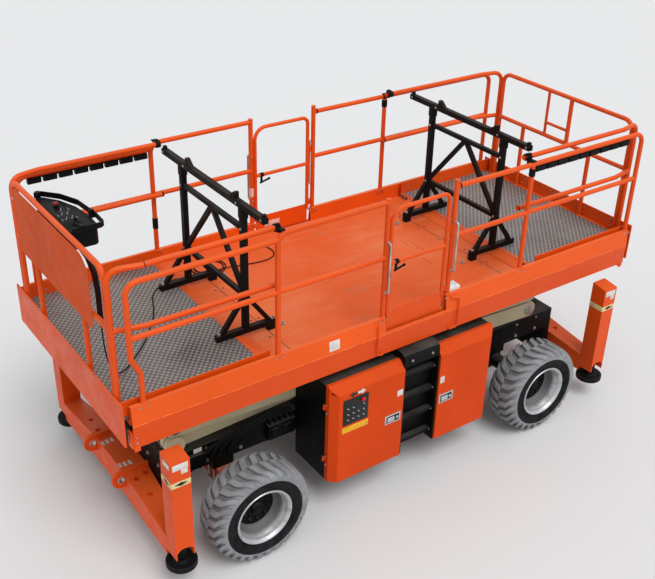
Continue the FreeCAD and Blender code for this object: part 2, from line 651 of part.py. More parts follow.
def arm_side(name, inner):
    """One arm of a frame on the near side, with round ends."""
    y = (f"-({inner}+arm_thick)", f"-{inner}")
    return joined(name, box(f"{name}_bar", ("0", "arm_pitch"), y, ("-arm_depth/2", "arm_depth/2")),
                  rod(f"{name}_low", "y", "arm_depth/2", y, ("0", "0")),
                  rod(f"{name}_high", "y", "arm_depth/2", y, ("arm_pitch", "0")))


def placed_arm(part, level, rising):
    """Rising arms start at the left pins of their level, falling ones at the right pins."""
    height = dim.base_pin_z + level * rise
    if rising:
        part.Placement = Placement(Vector(stack_left, 0, height), Rotation(Vector(0, 1, 0), -dim.stow_angle))
    else:
        part.Placement = Placement(Vector(dim.base_pin_x, 0, height),
                                   Rotation(Vector(0, 1, 0), 180 + dim.stow_angle))


OUTER_SPAN = ("-(outer_arm_y+arm_thick)", "outer_arm_y+arm_thick")
for level in range(3):
    name = f"arm_outer_{level + 1}"
    side = arm_side(f"{name}_side", "outer_arm_y")
    parts = both(side)
    for place in ("0", "arm_pitch/2", "arm_pitch"):
        parts.append(rod(f"{name}_pin", "y", "pin_radius", OUTER_SPAN, (place, "0")))
    if level == 2:
        roller = rod(f"{name}_roller", "y", "roller_radius",
                     ("-(inner_arm_y+roller_width+2)", "-(inner_arm_y+2)"), ("arm_pitch", "0"))
        parts += both(roller)
    frame = joined(name, *parts)
    placed_arm(frame, level, False)
    node(name, frame)

# Inner frames: places of their cross members from the lower pin
MEMBERS = {0: ("250", "arm_pitch-250"), 1: ("arm_pitch*0.4", "arm_pitch-250"), 2: ("250", "arm_pitch-250")}
for level in range(3):
    name = f"arm_inner_{level + 1}"
    side = arm_side(f"{name}_side", "inner_arm_y")
    parts = both(side)
    for place in MEMBERS[level]:
        parts.append(box(f"{name}_member", (f"{place}-member_width/2", f"{place}+member_width/2"),
                         ("-inner_arm_y", "inner_arm_y"), ("-member_height/2", "member_height/2")))
    if level == 0:
        parts.append(rod(f"{name}_foot_pin", "y", "cylinder_pin", ("-inner_arm_y", "inner_arm_y"),
                         ("arm_pitch*eye_share", "0")))
    bores = [rod(f"{name}_bore", "y", "pin_radius+pin_gap", OUTER_SPAN, (place, "0"))
             for place in (("arm_pitch/2", "arm_pitch") if level == 0 else ("0", "arm_pitch/2", "arm_pitch"))]
    frame = cut(f"{name}_bored", joined(f"{name}_solid", *parts), *bores)
    if level == 0:
        axle = rod(f"{name}_axle", "y", "pin_radius", OUTER_SPAN, ("0", "0"))
        roller = rod(f"{name}_roller", "y", "roller_radius",
                     ("-(outer_arm_y+roller_width+2)", "-(outer_arm_y+2)"), ("0", "0"))
        frame = joined(name, frame, axle, *both(roller))
    placed_arm(frame, level, True)
    node(name, frame)


# Lift cylinder, from its foot pin on the lowest inner frame to the pin between levels one and two.
# Local X runs up the cylinder, local +Z points down, and the rod's end is a hook under its pin.

foot_reach = dim.eye_share * dim.arm_pitch
angle = math.radians(dim.stow_angle)
foot = Vector(stack_left + foot_reach * math.cos(angle), 0, dim.base_pin_z + foot_reach * math.sin(angle))
eye = Vector(stack_left, 0, dim.base_pin_z + rise)
EYE_DROP = 50
HOOK_MOUTH = 36
eye_reach = math.sqrt((eye - foot).Length ** 2 - EYE_DROP ** 2)
slope = math.atan2(eye.z - foot.z, foot.x - eye.x) - math.atan2(EYE_DROP, eye_reach)
cylinder_place = Placement(foot, Rotation(Vector(0, 1, 0), 180 + math.degrees(slope)))
GLAND, PISTON = 70, 60
bore_radius = dim.barrel_radius - 12
foot_boss = Part.makeCylinder(dim.barrel_radius, 120, Vector(0, -60, 0), Vector(0, 1, 0))
foot_bore = Part.makeCylinder(dim.cylinder_pin + dim.pin_gap, 120, Vector(0, -60, 0), Vector(0, 1, 0))
barrel = Part.makeCylinder(dim.barrel_radius, dim.barrel_len - 30, Vector(30, 0, 0), Vector(1, 0, 0))
chamber = Part.makeCylinder(bore_radius, dim.barrel_len - 100 - GLAND, Vector(100, 0, 0), Vector(1, 0, 0))
mouth = Part.makeCylinder(dim.rod_radius + dim.pin_gap, GLAND, Vector(dim.barrel_len - GLAND, 0, 0),
                          Vector(1, 0, 0))
solid_node("lift_barrel", barrel.fuse(foot_boss).cut(foot_bore).cut(chamber).cut(mouth), cylinder_place)
piston_x = 560
piston = Part.makeCylinder(bore_radius - dim.pin_gap, PISTON, Vector(piston_x, 0, 0), Vector(1, 0, 0))
piston_rod = Part.makeCylinder(dim.rod_radius, eye_reach - 40 - piston_x, Vector(piston_x, 0, 0),
                               Vector(1, 0, 0))
seat = Vector(eye_reach, 0, -EYE_DROP)
hook = Part.makeCylinder(58, 70, seat + Vector(0, -35, 0), Vector(0, 1, 0))
hook = hook.fuse(Part.makeBox(128, 70, 76, Vector(eye_reach - 70, -35, -40)))
hook = hook.cut(Part.makeCylinder(dim.pin_radius + dim.pin_gap, 90, seat + Vector(0, -45, 0),
                                  Vector(0, 1, 0)))
for turn in (90, 135):
    way = Part.makeBox(240, 90, 2 * HOOK_MOUTH, Vector(0, -45, -HOOK_MOUTH))
    way.Placement = Placement(seat, Rotation(Vector(0, 1, 0), turn)).multiply(way.Placement)
    hook = hook.cut(way)
solid_node("lift_rod", piston.fuse(piston_rod).fuse(hook), cylinder_place)


# Chassis frame: two rails, cross members, end plates, base brackets and axle mounts

FRAME_CROSSES = ("-1000", "0", "900")
frame_parts = []
frame_rail = box("frame_rail", ("-frame_half_len", "frame_half_len"), ("-frame_outer_y", "-frame_inner_y"),
                 ("frame_bottom", FRAME_TOP))
frame_parts += both(frame_rail)
for place in FRAME_CROSSES:
    frame_parts.append(box("frame_cross", (f"{place}-60", f"{place}+60"), ("-frame_inner_y", "frame_inner_y"),
                           ("frame_bottom", "frame_bottom+120")))
frame_end = box("frame_end", ("frame_half_len-end_thick", "frame_half_len"),
                ("-frame_outer_y", "frame_outer_y"),
                ("end_bottom", FRAME_TOP))
frame_parts += both(frame_end, "x")
base_bracket = box("base_bracket", ("base_pin_x-bracket_radius", "base_pin_x+bracket_radius"),
                   ("-(inner_arm_y+arm_thick)", "-inner_arm_y"), (FRAME_TOP, "base_pin_z"))
base_round = rod("base_round", "y", "bracket_radius", ("-(inner_arm_y+arm_thick)", "-inner_arm_y"),
                 ("base_pin_x", "base_pin_z"))
base_bore = rod("base_bore", "y", "pin_radius+pin_gap", ("-(inner_arm_y+arm_thick)", "-inner_arm_y"),
                ("base_pin_x", "base_pin_z"))
frame_parts += both(cut("base_lug", joined("base_lug_solid", base_bracket, base_round), base_bore))
for axle in ("steer_axle_x", "drive_axle_x"):
    mount = box(f"{axle}_mount", (f"{axle}-90", f"{axle}+90"), ("-frame_outer_y", "-(frame_inner_y-60)"),
                ("wheel_radius+axle_half", "frame_bottom"))
    frame_parts += both(mount)
node("chassis_frame", joined("chassis_frame", *frame_parts))


# Outriggers: cross beam, lug plates, tapered arms and square jack posts

post_in_y, post_out_y = "(post_y-post_half)", "(post_y+post_half)"
post_in_x, post_out_x = "(post_x-post_half)", "(post_x+post_half)"
outrigger_beam = box("outrigger_beam", ("outrigger_in_x", "outrigger_out_x"), ("-lug_y", "lug_y"),
                     ("outrigger_bottom", "outrigger_top"))
outrigger_arm = padded("outrigger_arm", "YZ", [
    ("-(lug_y-1)", "outrigger_top"),
    ("-(lug_y-1)", "outrigger_bottom"),
    (f"-{post_in_y}", "arm_foot_bottom"),
    (f"-{post_in_y}", "arm_foot_top"),
], "outrigger_in_x", "outrigger_out_x")
taper = padded("outrigger_taper", "XY", [
    ("outrigger_in_x-1", "-lug_y"),
    ("outrigger_in_x", "-lug_y"),
    (post_in_x, f"-{post_in_y}-1"),
    ("outrigger_in_x-1", f"-{post_in_y}-1"),
], "arm_foot_bottom-50", "outrigger_top+50")
arm_holes = [rod("arm_hole", "z", "arm_hole", ("outrigger_top-60", "outrigger_top+1"), (x, f"-{y}"))
             for x, y in (("outrigger_in_x+50", "(lug_y+60)"), ("outrigger_out_x-60", "(lug_y+90)"),
                          ("outrigger_out_x-80", "(lug_y+280)"))]
outrigger_arm = cut("outrigger_arm_cut", outrigger_arm, taper, *arm_holes)
post_body = padded("jack_post_body", "YZ", [
    (f"-{post_out_y}", "ear_bottom"),
    (f"-{post_in_y}", "ear_bottom"),
    (f"-{post_in_y}", "post_top"),
    (f"-{post_out_y}", "post_top-post_cap"),
], post_in_x, post_out_x)
post_hollow = box("jack_post_hollow", (f"{post_in_x}+post_wall", f"{post_out_x}-post_wall"),
                  (f"-{post_out_y}+post_wall", f"-{post_in_y}-post_wall"),
                  ("post_bottom+40", "post_top-post_cap-post_wall"))
post_guide = rod("jack_post_guide", "z", "jack_radius+pin_gap", ("post_bottom-60", "post_bottom+41"),
                 ("post_x", "-post_y"))
ARCH = "(post_half-post_wall)"
post_arch = joined("jack_post_arch",
                   box("arch_way", (f"post_x-{ARCH}", f"post_x+{ARCH}"),
                       (f"-{post_out_y}-1", f"-{post_in_y}-post_wall"),
                       ("ear_bottom-1", f"post_bottom-{ARCH}/2")),
                   rod("arch_round", "y", f"{ARCH}", (f"-{post_out_y}-1", f"-{post_in_y}-post_wall"),
                       ("post_x", f"post_bottom-{ARCH}")))
jack_post = cut("jack_post", post_body, post_hollow, post_guide, post_arch)
lug_plate = joined("lug_plate",
                   box("lug_bar", ("outrigger_in_x", "lug_hole_x"),
                       ("-(lug_y+lug_thick/2)", "-(lug_y-lug_thick/2)"),
                       ("lug_hole_z-lug_radius", "lug_hole_z+lug_radius")),
                   rod("lug_round", "y", "lug_radius", ("-(lug_y+lug_thick/2)", "-(lug_y-lug_thick/2)"),
                       ("lug_hole_x", "lug_hole_z")))
lug_bore = rod("lug_bore", "y", "lug_hole", ("-(lug_y+lug_thick/2)", "-(lug_y-lug_thick/2)"),
               ("lug_hole_x", "lug_hole_z"))
lug = cut("lug", lug_plate, lug_bore)
outrigger_parts = [outrigger_beam]
for part in (outrigger_arm, jack_post, lug):
    outrigger_parts += both(part)
outrigger_right = node("outrigger_right", joined("outrigger_right", *outrigger_parts))
node("outrigger_left", mirrored(outrigger_right, "x"))

leg = rod("jack_leg", "z", "jack_radius", ("foot_bottom+foot_thick-5", "post_top-120"), ("post_x", "-post_y"))
foot_disc = rod("jack_foot", "z", "foot_radius", ("foot_bottom", "foot_bottom+foot_thick"),
                ("post_x", "-post_y"))
jack = joined("jack", leg, foot_disc)
jack_far = mirrored(jack)
node("jack_right_near", jack)
node("jack_right_far", jack_far)
node("jack_left_near", mirrored(jack, "x"))
node("jack_left_far", mirrored(jack_far, "x"))


# Axles and knuckles

SPINDLE_END = "(rim_disc_y+15)"
steer_beam = box("steer_beam", ("steer_axle_x-axle_half", "steer_axle_x+axle_half"),
                 ("-(kingpin_y-60)", "kingpin_y-60"), ("wheel_radius-axle_half", "wheel_radius+axle_half"))
steer_parts = [steer_beam]
yoke = box("yoke", ("steer_axle_x-55", "steer_axle_x+55"), ("-(kingpin_y+45)", "-(kingpin_y-70)"),
           ("wheel_radius-axle_half-30", "wheel_radius+axle_half+30"))
yoke_gap = box("yoke_gap", ("steer_axle_x-56", "steer_axle_x+56"), ("-(kingpin_y+46)", "-(kingpin_y-55)"),
               ("wheel_radius-axle_half", "wheel_radius+axle_half"))
kingpin = rod("kingpin", "z", "kingpin_radius", ("wheel_radius-axle_half-30", "wheel_radius+axle_half+30"),
              ("steer_axle_x", "-kingpin_y"))
steer_parts += both(joined("yoke_pin", cut("yoke_fork", yoke, yoke_gap), kingpin))
node("steer_axle", joined("steer_axle", *steer_parts))

knuckle_block = rod("knuckle_block", "z", "50",
                    ("wheel_radius-axle_half+pad_gap", "wheel_radius+axle_half-pad_gap"),
                    ("steer_axle_x", "-kingpin_y"))
spindle_root = rod("spindle_root", "y", "52", ("-(kingpin_y+90)", "-kingpin_y"),
                   ("steer_axle_x", "wheel_radius"))
spindle = rod("spindle", "y", "spindle_radius", (f"-{SPINDLE_END}", "-kingpin_y"),
              ("steer_axle_x", "wheel_radius"))
king_bore = rod("king_bore", "z", "kingpin_radius+pin_gap",
                ("wheel_radius-axle_half", "wheel_radius+axle_half"),
                ("steer_axle_x", "-kingpin_y"))
knuckle = node("knuckle_near", cut("knuckle", joined("knuckle_solid", knuckle_block, spindle_root, spindle),
                                   king_bore))
node("knuckle_far", mirrored(knuckle))

drive_tube = rod("drive_tube", "y", "axle_half", ("-drive_tube_half", "drive_tube_half"),
                 ("drive_axle_x", "wheel_radius"))
drive_spindle = rod("drive_spindle", "y", "spindle_radius", (f"-{SPINDLE_END}", SPINDLE_END),
                    ("drive_axle_x", "wheel_radius"))
drive_case = rod("drive_case", "x", "drive_case", ("drive_axle_x-drive_case", "drive_axle_x+drive_case+20"),
                 ("0", "wheel_radius"))
drive_saddle = box("drive_saddle", ("drive_axle_x-axle_half", "drive_axle_x+axle_half"), ("-560", "560"),
                   ("wheel_radius", "wheel_radius+axle_half"))
node("drive_axle", joined("drive_axle", drive_tube, drive_spindle, drive_case, drive_saddle))


# Wheels, each turned about its own axis and moved to its axle

tyre_in = "(wheel_outer_y-tyre_width)"
TYRE_SIDES = 32
SHOULDER = 45
BEAD = 24


def carcass():
    """The tyre under its tread: rings of flat faces, the bore's flats just outside the rim."""
    half, crown = dim.tyre_width / 2, dim.wheel_radius - dim.tread_depth
    bore = dim.rim_radius / math.cos(math.pi / TYRE_SIDES)
    rings = [(bore, half - BEAD), (crown - SHOULDER, half), (crown, half - SHOULDER)]
    rings += [(radius, -across) for radius, across in reversed(rings)]
    corners = [[Vector(radius * math.cos(turn), across, radius * math.sin(turn)) for radius, across in rings]
               for turn in (2 * math.pi * k / TYRE_SIDES for k in range(TYRE_SIDES))]
    faces = []
    for k in range(TYRE_SIDES):
        here, there = corners[k], corners[(k + 1) % TYRE_SIDES]
        for j in range(len(rings)):
            j_next = (j + 1) % len(rings)
            corner_ring = [here[j], here[j_next], there[j_next], there[j], here[j]]
            faces.append(Part.Face(Part.makePolygon(corner_ring)))
    solid = Part.makeSolid(Part.makeShell(faces))
    return solid if solid.Volume > 0 else solid.reversed()


def tread():
    """Slanted bars on both halves, their tops sloped to stay under the tyre's full radius."""
    half, reach = dim.tyre_width / 2, dim.tyre_width * 0.62
    root = dim.wheel_radius - dim.tread_depth - SHOULDER
    profile = [(6, root), (6, dim.wheel_radius - 2), (reach * 0.72, dim.wheel_radius - 11),
               (reach, dim.wheel_radius - dim.tread_depth - 10), (reach, root)]
    bar = plate([(-dim.lug_width / 2, across, up) for across, up in profile], Vector(dim.lug_width, 0, 0))
    bar.rotate(Vector(), Vector(0, 0, 1), dim.lug_slant)
    bar = bar.common(Part.makeBox(1000, half, 1000, Vector(-500, 0, 0)))
    bars = []
    for side in (-1, 1):
        for k in range(int(dim.lug_count)):
            one = bar.copy() if side > 0 else flip(bar)
            one.rotate(Vector(), Vector(0, 1, 0), 360 / dim.lug_count * (k + (0.5 if side > 0 else 0)))
            bars.append(one)
    return bars


tyre_solid = fuse([carcass(), *tread()])
tyre_solid.translate(Vector(0, dim.tyre_width / 2 - dim.wheel_outer_y, 0))
rim = turned("rim_turned", [
    ("hub_radius-20", "-(rim_disc_y-8)"),
    ("rim_radius-60", "-(rim_disc_y-8)"),
    ("rim_radius-25", f"-({tyre_in}+30)"),
    ("rim_radius-25", f"-({tyre_in}+22)"),
    ("rim_radius-pad_gap", f"-({tyre_in}+22)"),
    ("rim_radius-pad_gap", "-(wheel_outer_y-22)"),
    ("rim_radius+rim_lip", "-(wheel_outer_y-12)"),
    ("rim_radius+rim_lip", "-(wheel_outer_y-4)"),
    ("rim_radius-8", "-(wheel_outer_y-14)"),
    ("rim_radius-22", "-(wheel_outer_y-60)"),
    ("rim_radius-45", "-(rim_disc_y+30)"),
    ("rim_radius-70", "-(rim_disc_y+8)"),
    ("hub_radius-20", "-(rim_disc_y+8)"),
])
hub = turned("hub_turned", [
    ("spindle_radius+pin_gap", "-(rim_disc_y-90)"),
    ("hub_radius+20", "-(rim_disc_y-90)"),
    ("hub_radius+20", "-(rim_disc_y-8)"),
    ("hub_radius", "-(rim_disc_y-8)"),
    ("hub_radius", "-(rim_disc_y+45)"),
    ("hub_radius-22", "-(rim_disc_y+60)"),
    ("0", "-(rim_disc_y+60)"),
    ("0", f"-({SPINDLE_END}+pad_gap)"),
    ("spindle_radius+pin_gap", f"-({SPINDLE_END}+pad_gap)"),
])
doc.recompute()
wheel_solid = rim.Shape.fuse(hub.Shape)
for end, axle_x in (("left", dim.steer_axle_x), ("right", dim.drive_axle_x)):
    for side, sign in (("near", NEAR), ("far", FAR)):
        place = Placement(Vector(axle_x, 0, dim.wheel_radius), Rotation())
        solid_node(f"tyre_{end}_{side}", tyre_solid if sign == NEAR else flip(tyre_solid), place)
        solid_node(f"rim_{end}_{side}", wheel_solid if sign == NEAR else flip(wheel_solid), place)


# Side trays with ladders between them, hood doors and the engine

TRAY_OUT = "(hood_face-hood_depth-tray_gap)"
tray_body = box("tray_body", ("-left_hood_out", "right_hood_out"), (f"-{TRAY_OUT}", "-frame_outer_y"),
                ("hood_bottom", "hood_top-10"))
left_cavity = box("left_cavity", ("-(left_hood_out-tray_wall)", "-(left_hood_in+tray_wall)"),
                  (f"-{TRAY_OUT}-1", "-(frame_outer_y+tray_wall)"), ("hood_bottom+tray_wall",
                                                                     "hood_top-10-tray_wall"))
right_cavity = box("right_cavity", ("right_hood_in+tray_wall", "right_hood_out-tray_wall"),
                   (f"-{TRAY_OUT}-1", "-(frame_outer_y+tray_wall)"), ("hood_bottom+tray_wall",
                                                                      "hood_top-10-tray_wall"))
recess = box("ladder_recess", ("-left_hood_in", "right_hood_in"), (f"-{TRAY_OUT}-1", f"-({TRAY_OUT}-120)"),
             ("hood_bottom-1", "hood_top"))
tray_cut = cut("tray_cut", tray_body, left_cavity, right_cavity, recess)
HINGE_X = {"left": "-(left_hood_out+14)", "right": "(right_hood_out+14)"}
HINGE_Y = "(hood_face-hood_depth)"
tray_parts = [tray_cut]
for end, out, way in (("left", "-left_hood_out", -1), ("right", "right_hood_out", 1)):
    for height in ("hinge_low", "hinge_high"):
        for foot_x, front in ((6, "9"), (-10, "-3")):
            low, high = sorted((24 * way, foot_x * way))
            tray_parts.append(box("tray_lug", (f"{out}+{low}", f"{out}+{high}"),
                                  (f"-({HINGE_Y}+{front})", f"-({HINGE_Y}-28)"),
                                  (f"{height}-14-pad_gap", f"{height}-pad_gap")))
        tray_parts.append(rod("tray_pin", "z", "hinge_pin", (f"{height}-14-pad_gap", f"{height}+hinge_len"),
                              (HINGE_X[end], f"-{HINGE_Y}")))
tray = node("tray_near", joined("tray", *tray_parts))
node("tray_far", mirrored(tray))

ladder_parts = []
stile = box("ladder_stile", ("right_hood_in-tray_wall-2", "right_hood_in-2"),
            ("-(hood_face-12)", f"-({TRAY_OUT}-120)"),
            ("hood_bottom", "hood_top-60"))
ladder_parts += both(stile, "x")
for k in range(int(dim.step_count)):
    height = f"step_first+{k}*step_pitch"
    ladder_parts.append(box("rung", ("-(right_hood_in-4)", "right_hood_in-4"),
                            ("-(hood_face-45)", "-(hood_face-105)"),
                            (f"{height}-14", f"{height}+14")))
fairing = padded("ladder_fairing", "YZ", [
    ("-(hood_face-18)", "hood_top-62"),
    ("-(hood_face-18)", "hood_top+10"),
    ("-(hood_face-30)", "hood_top+38"),
    ("-(hood_face-58)", "hood_top+56"),
    (f"-({TRAY_OUT}-100)", "hood_top+60"),
    (f"-({TRAY_OUT}-100)", "hood_top-62"),
], "-(right_hood_in-2)", "right_hood_in-2")
ladder = node("ladder_near", joined("ladder", fairing, *ladder_parts))
node("ladder_far", mirrored(ladder))


def hood(end, out, inner, way):
    """A sheet metal door with a chamfered top and outer edge; way is -1 at the steer end."""
    low, high = (f"-{out}", f"-({inner}+4)") if way < 0 else (f"{inner}+4", out)
    back = f"-{HINGE_Y}"
    skin = padded(f"hood_{end}_skin", "YZ", [
        ("-hood_face", "hood_bottom"),
        (back, "hood_bottom"),
        (back, "hood_top"),
        ("-(hood_face-hood_chamfer)", "hood_top"),
        ("-hood_face", "hood_top-hood_chamfer"),
    ], low, high)
    inside = padded(f"hood_{end}_inside", "YZ", [
        ("-(hood_face-hood_wall)", "hood_bottom+hood_wall"),
        (f"{back}+1", "hood_bottom+hood_wall"),
        (f"{back}+1", "hood_top-hood_wall"),
        ("-(hood_face-hood_chamfer-4)", "hood_top-hood_wall"),
        ("-(hood_face-hood_wall)", "hood_top-hood_chamfer-4"),
    ], f"{low}+hood_wall", f"{high}-hood_wall")
    outer = low if way < 0 else high
    corner = padded(f"hood_{end}_corner", "XY", [
        (f"{outer}+{-way}*(hood_chamfer-12)", "-(hood_face+1)"),
        (f"{outer}+{way}", "-(hood_face+1)"),
        (f"{outer}+{way}", "-(hood_face-hood_chamfer+12)"),
    ], "hood_bottom-1", "hood_top+1")
    liner = padded(f"hood_{end}_liner", "XY", [
        (f"{outer}+{-way}*(hood_chamfer-12)", "-hood_face"),
        (f"{outer}", "-(hood_face-hood_chamfer+12)"),
        (f"{outer}", "-(hood_face-hood_chamfer)"),
        (f"{outer}+{-way}*(hood_wall+4)", "-(hood_face-hood_chamfer)"),
        (f"{outer}+{-way}*(hood_chamfer)", "-(hood_face-hood_wall-4)"),
        (f"{outer}+{-way}*(hood_chamfer)", "-hood_face"),
    ], "hood_bottom", "hood_top-hood_chamfer")
    shell = cut(f"hood_{end}_shell", joined(f"hood_{end}_lined", cut(f"hood_{end}_hollow", skin, inside),
                                            liner), corner)
    parts = [shell]
    for height in ("hinge_low", "hinge_high"):
        near_x, far_x = sorted((14 * way, -10 * way))
        leaf = box("hood_leaf", (f"{outer}+{near_x}", f"{outer}+{far_x}"), (f"{back}-8", back),
                   (height, f"{height}+hinge_len"))
        barrel = rod("hood_barrel", "z", "hinge_radius", (height, f"{height}+hinge_len"),
                     (HINGE_X[end], back))
        bore = rod("hood_bore", "z", "hinge_pin+pin_gap", (height, f"{height}+hinge_len"),
                   (HINGE_X[end], back))
        parts.append(cut("hood_hinge", joined("hood_knuckle", leaf, barrel), bore))
    return joined(f"hood_{end}", *parts)


hood_left = node("hood_left_near", hood("left", "left_hood_out", "left_hood_in", -1))
hood_right = node("hood_right_near", hood("right", "right_hood_out", "right_hood_in", 1))
node("hood_left_far", mirrored(hood_left))
node("hood_right_far", mirrored(hood_right))

node("engine", box("engine", ("-(left_hood_out-60)", "-(left_hood_in+70)"),
                   ("frame_outer_y+tray_wall", "hood_face-hood_depth-50"),
                   ("hood_bottom+tray_wall", "engine_top")))


# Pipe racks on the main platform, their feet just above the mesh floors

def rack(side):
    """A braced trestle: feet along the machine, legs, two rungs, braces and a hooked top beam."""
    x, y, size, brace = side * dim.rack_x, dim.rack_leg_y, dim.rack_tube, dim.rack_brace
    foot_z = dim.deck_top + 8 + size / 2
    beam_z = dim.rack_top - size / 2
    joint_z, rung_z = foot_z + dim.rack_joint, beam_z - dim.rack_drop
    inner_x = x - side * dim.rack_foot_half
    end_y = dim.rack_half_len - size / 2
    shapes = [beam((x, -dim.rack_half_len, beam_z), (x, dim.rack_half_len, beam_z), size),
              beam((x, -y, joint_z), (x, y, joint_z), brace), beam((x, -y, rung_z), (x, y, rung_z), brace)]
    for sign in (NEAR, FAR):
        leg_y = sign * y
        shapes.append(beam((x, leg_y, foot_z), (x, leg_y, beam_z), size, up=Vector(1, 0, 0)))
        shapes.append(beam((x - dim.rack_foot_half, leg_y, foot_z), (x + dim.rack_foot_half, leg_y, foot_z),
                           size))
        for way in (-1, 1):
            shapes.append(beam((x, leg_y, joint_z), (x + way * (dim.rack_foot_half - brace), leg_y, foot_z),
                               brace, up=Vector(0, 1, 0)))
        shapes.append(beam((x, leg_y, joint_z), (x, 0, rung_z), brace, up=Vector(1, 0, 0)))
        shapes.append(beam((x, sign * end_y, beam_z), (x, sign * end_y, beam_z + size), size * 0.6,
                           up=Vector(1, 0, 0)))
        shapes.append(Part.makeBox(dim.rack_foot_half / 4, size, dim.deck_top + 8 - dim.floor_top,
                                   Vector(min(inner_x, inner_x + side * dim.rack_foot_half / 4),
                                          leg_y - size / 2,
                                          dim.floor_top)))
        stop_y, top = sign * dim.rack_stop_y, beam_z + size / 2
        shapes.append(plate([(x - brace / 2, stop_y - sign * 60, top - 1),
                             (x - brace / 2, stop_y + sign * 25, top - 1),
                             (x - brace / 2, stop_y + sign * 25, top - 45 + dim.rack_stop),
                             (x - brace / 2, stop_y, top - 45 + dim.rack_stop)], Vector(brace, 0, 0)))
    return fuse(shapes)


solid_node("pipe_rack_left", rack(-1))
solid_node("pipe_rack_right", rack(1))


# Steer end: sheet panel and control box on the end rail

panel_x = -(dim.deck_rail_x + dim.rail_radius)
panel = Part.makeBox(4, dim.panel_left_y + dim.panel_right_y, dim.panel_top - dim.panel_bottom,
                     Vector(panel_x - 4, -dim.panel_right_y, dim.panel_bottom))
for corner_y, corner_z, round_off in ((-dim.panel_right_y, dim.panel_top, dim.panel_round),
                                      (dim.panel_left_y, dim.panel_top, 60), (-dim.panel_right_y,
                                                                              dim.panel_bottom, 40),
                                      (dim.panel_left_y, dim.panel_bottom, 40)):
    ends = [edge for edge in panel.Edges if abs(edge.BoundBox.XLength - 4) < 0.01
            and abs(edge.BoundBox.YMin - corner_y) < 1 and abs(edge.BoundBox.ZMin - corner_z) < 1]
    panel = panel.makeFillet(round_off, ends)
solid_node("end_panel", panel)

inside_x = -(dim.deck_rail_x - dim.rail_radius) + dim.pad_gap


def console_plan(grown, low_z, high_z):
    """The console's plan, a bulge on the inner side of the end rail, grown by a margin and padded."""
    far, near, deep = dim.console_far_y + grown, -dim.console_near_y - grown, dim.console_depth + grown
    shares = ((0, far, 0), (0.22, far, 0), (0.62, far, -110), (0.9, far, -270), (1.0, near, 150),
              (0.97, near, 22),
              (0.86, near, 0), (0, near, 0))
    points = [(inside_x + share * deep, edge + shift, low_z) for share, edge, shift in shares]
    return plate(points, Vector(0, 0, high_z - low_z))


gap, thick = dim.band_gap, dim.band_thick
console = console_plan(0, dim.console_bottom, dim.console_top)
band = console_plan(gap + thick, dim.band_top - 40, dim.band_top).cut(
    console_plan(gap, dim.band_top - 41, dim.band_top + 1))
ties = [Part.makeBox(*size, Vector(*corner)) for size, corner in (
    ((gap + thick, 20, 60), (inside_x + dim.console_depth - 2, -90, dim.console_top - 20)),
    ((30, gap + thick, 60), (inside_x + 8, dim.console_far_y - 2, dim.console_top - 20)),
    ((30, gap + thick, 60), (inside_x + 60, -dim.console_near_y - gap - thick + 2, dim.console_top - 20)))]
# The guard's edge: place across the machine, and how far it lies under the rail's axis
GUARD_EDGE = [(-360, 65), (-465, 85), (-545, 155), (-578, 265), (-580, 505),
              (-630, 505), (-632, 250), (-600, 120), (-500, 40), (-360, 21)]
cable_guard = plate([(inside_x, y, dim.deck_rail_top - drop) for y, drop in GUARD_EDGE],
                    Vector(dim.guard_thick, 0, 0))
solid_node("control_box", Part.makeCompound([fuse([console, band, *ties]), cable_guard]))


# Control cable: down inside the end rails, over the deck, round the rack's far foot, into a
# loose coil on the main floor and out to its plug. Points in millimetres, chosen by hand.

ON_DECK, ON_FLOOR = dim.deck_top + dim.cable_radius + 1, dim.floor_top + dim.cable_radius + 1
plug_z = dim.floor_top + dim.plug_radius + dim.pad_gap
cable_points = [
    (inside_x + dim.guard_thick / 2, -605, dim.deck_rail_top - 505), (-2440, -603, 2010),
    (-2430, -594, 1890), (-2408, -574, 1780), (-2372, -542, 1680),
    (-2318, -495, 1606), (-2240, -432, ON_DECK + 2), (-2145, -352, ON_DECK), (-2048, -262, ON_DECK),
    (-1958, -168, ON_DECK), (-1872, -62, ON_DECK), (-1790, 50, ON_DECK), (-1716, 168, ON_DECK),
    (-1660, 292, ON_DECK), (-1618, 398, ON_DECK), (-1552, 480, ON_DECK), (-1460, 528, ON_DECK),
    (-1380, 548, ON_DECK + 5), (-1300, 552, ON_DECK + 1), (-1222, 542, ON_FLOOR + 9), (-1140, 524, ON_FLOOR),
]
COIL_X, COIL_Y = -975, 648
COIL_WIDE, COIL_STEP, COIL_WOBBLE = 150, 24, 4
COIL_TURNS, COIL_POINTS = 2, 13
HUMP = dim.cable_radius * 4 + 2
for k in range(COIL_POINTS * COIL_TURNS + 1):
    turn = 2 * math.pi * k / COIL_POINTS - math.radians(118)
    reach = COIL_WIDE - COIL_STEP * k / COIL_POINTS + COIL_WOBBLE * math.sin(2.3 * turn)
    lift = max(0, k + 2 - COIL_POINTS * COIL_TURNS) * HUMP / 4
    cable_points.append((COIL_X + 1.12 * reach * math.cos(turn), COIL_Y + reach * math.sin(turn),
                         ON_FLOOR + lift))
cable_points += [
    (-985, 534, ON_FLOOR + HUMP), (-925, 525, ON_FLOOR + HUMP), (-858, 527, ON_FLOOR + HUMP),
    (-790, 532, ON_FLOOR + 9), (-715, 527, ON_FLOOR), (-638, 511, ON_FLOOR), (-560, 497, ON_FLOOR),
    (-480, 494, ON_FLOOR), (-404, 516, ON_FLOOR), (-354, 574, ON_FLOOR), (-346, 646, ON_FLOOR + 3),
    (-364, 712, plug_z),
]


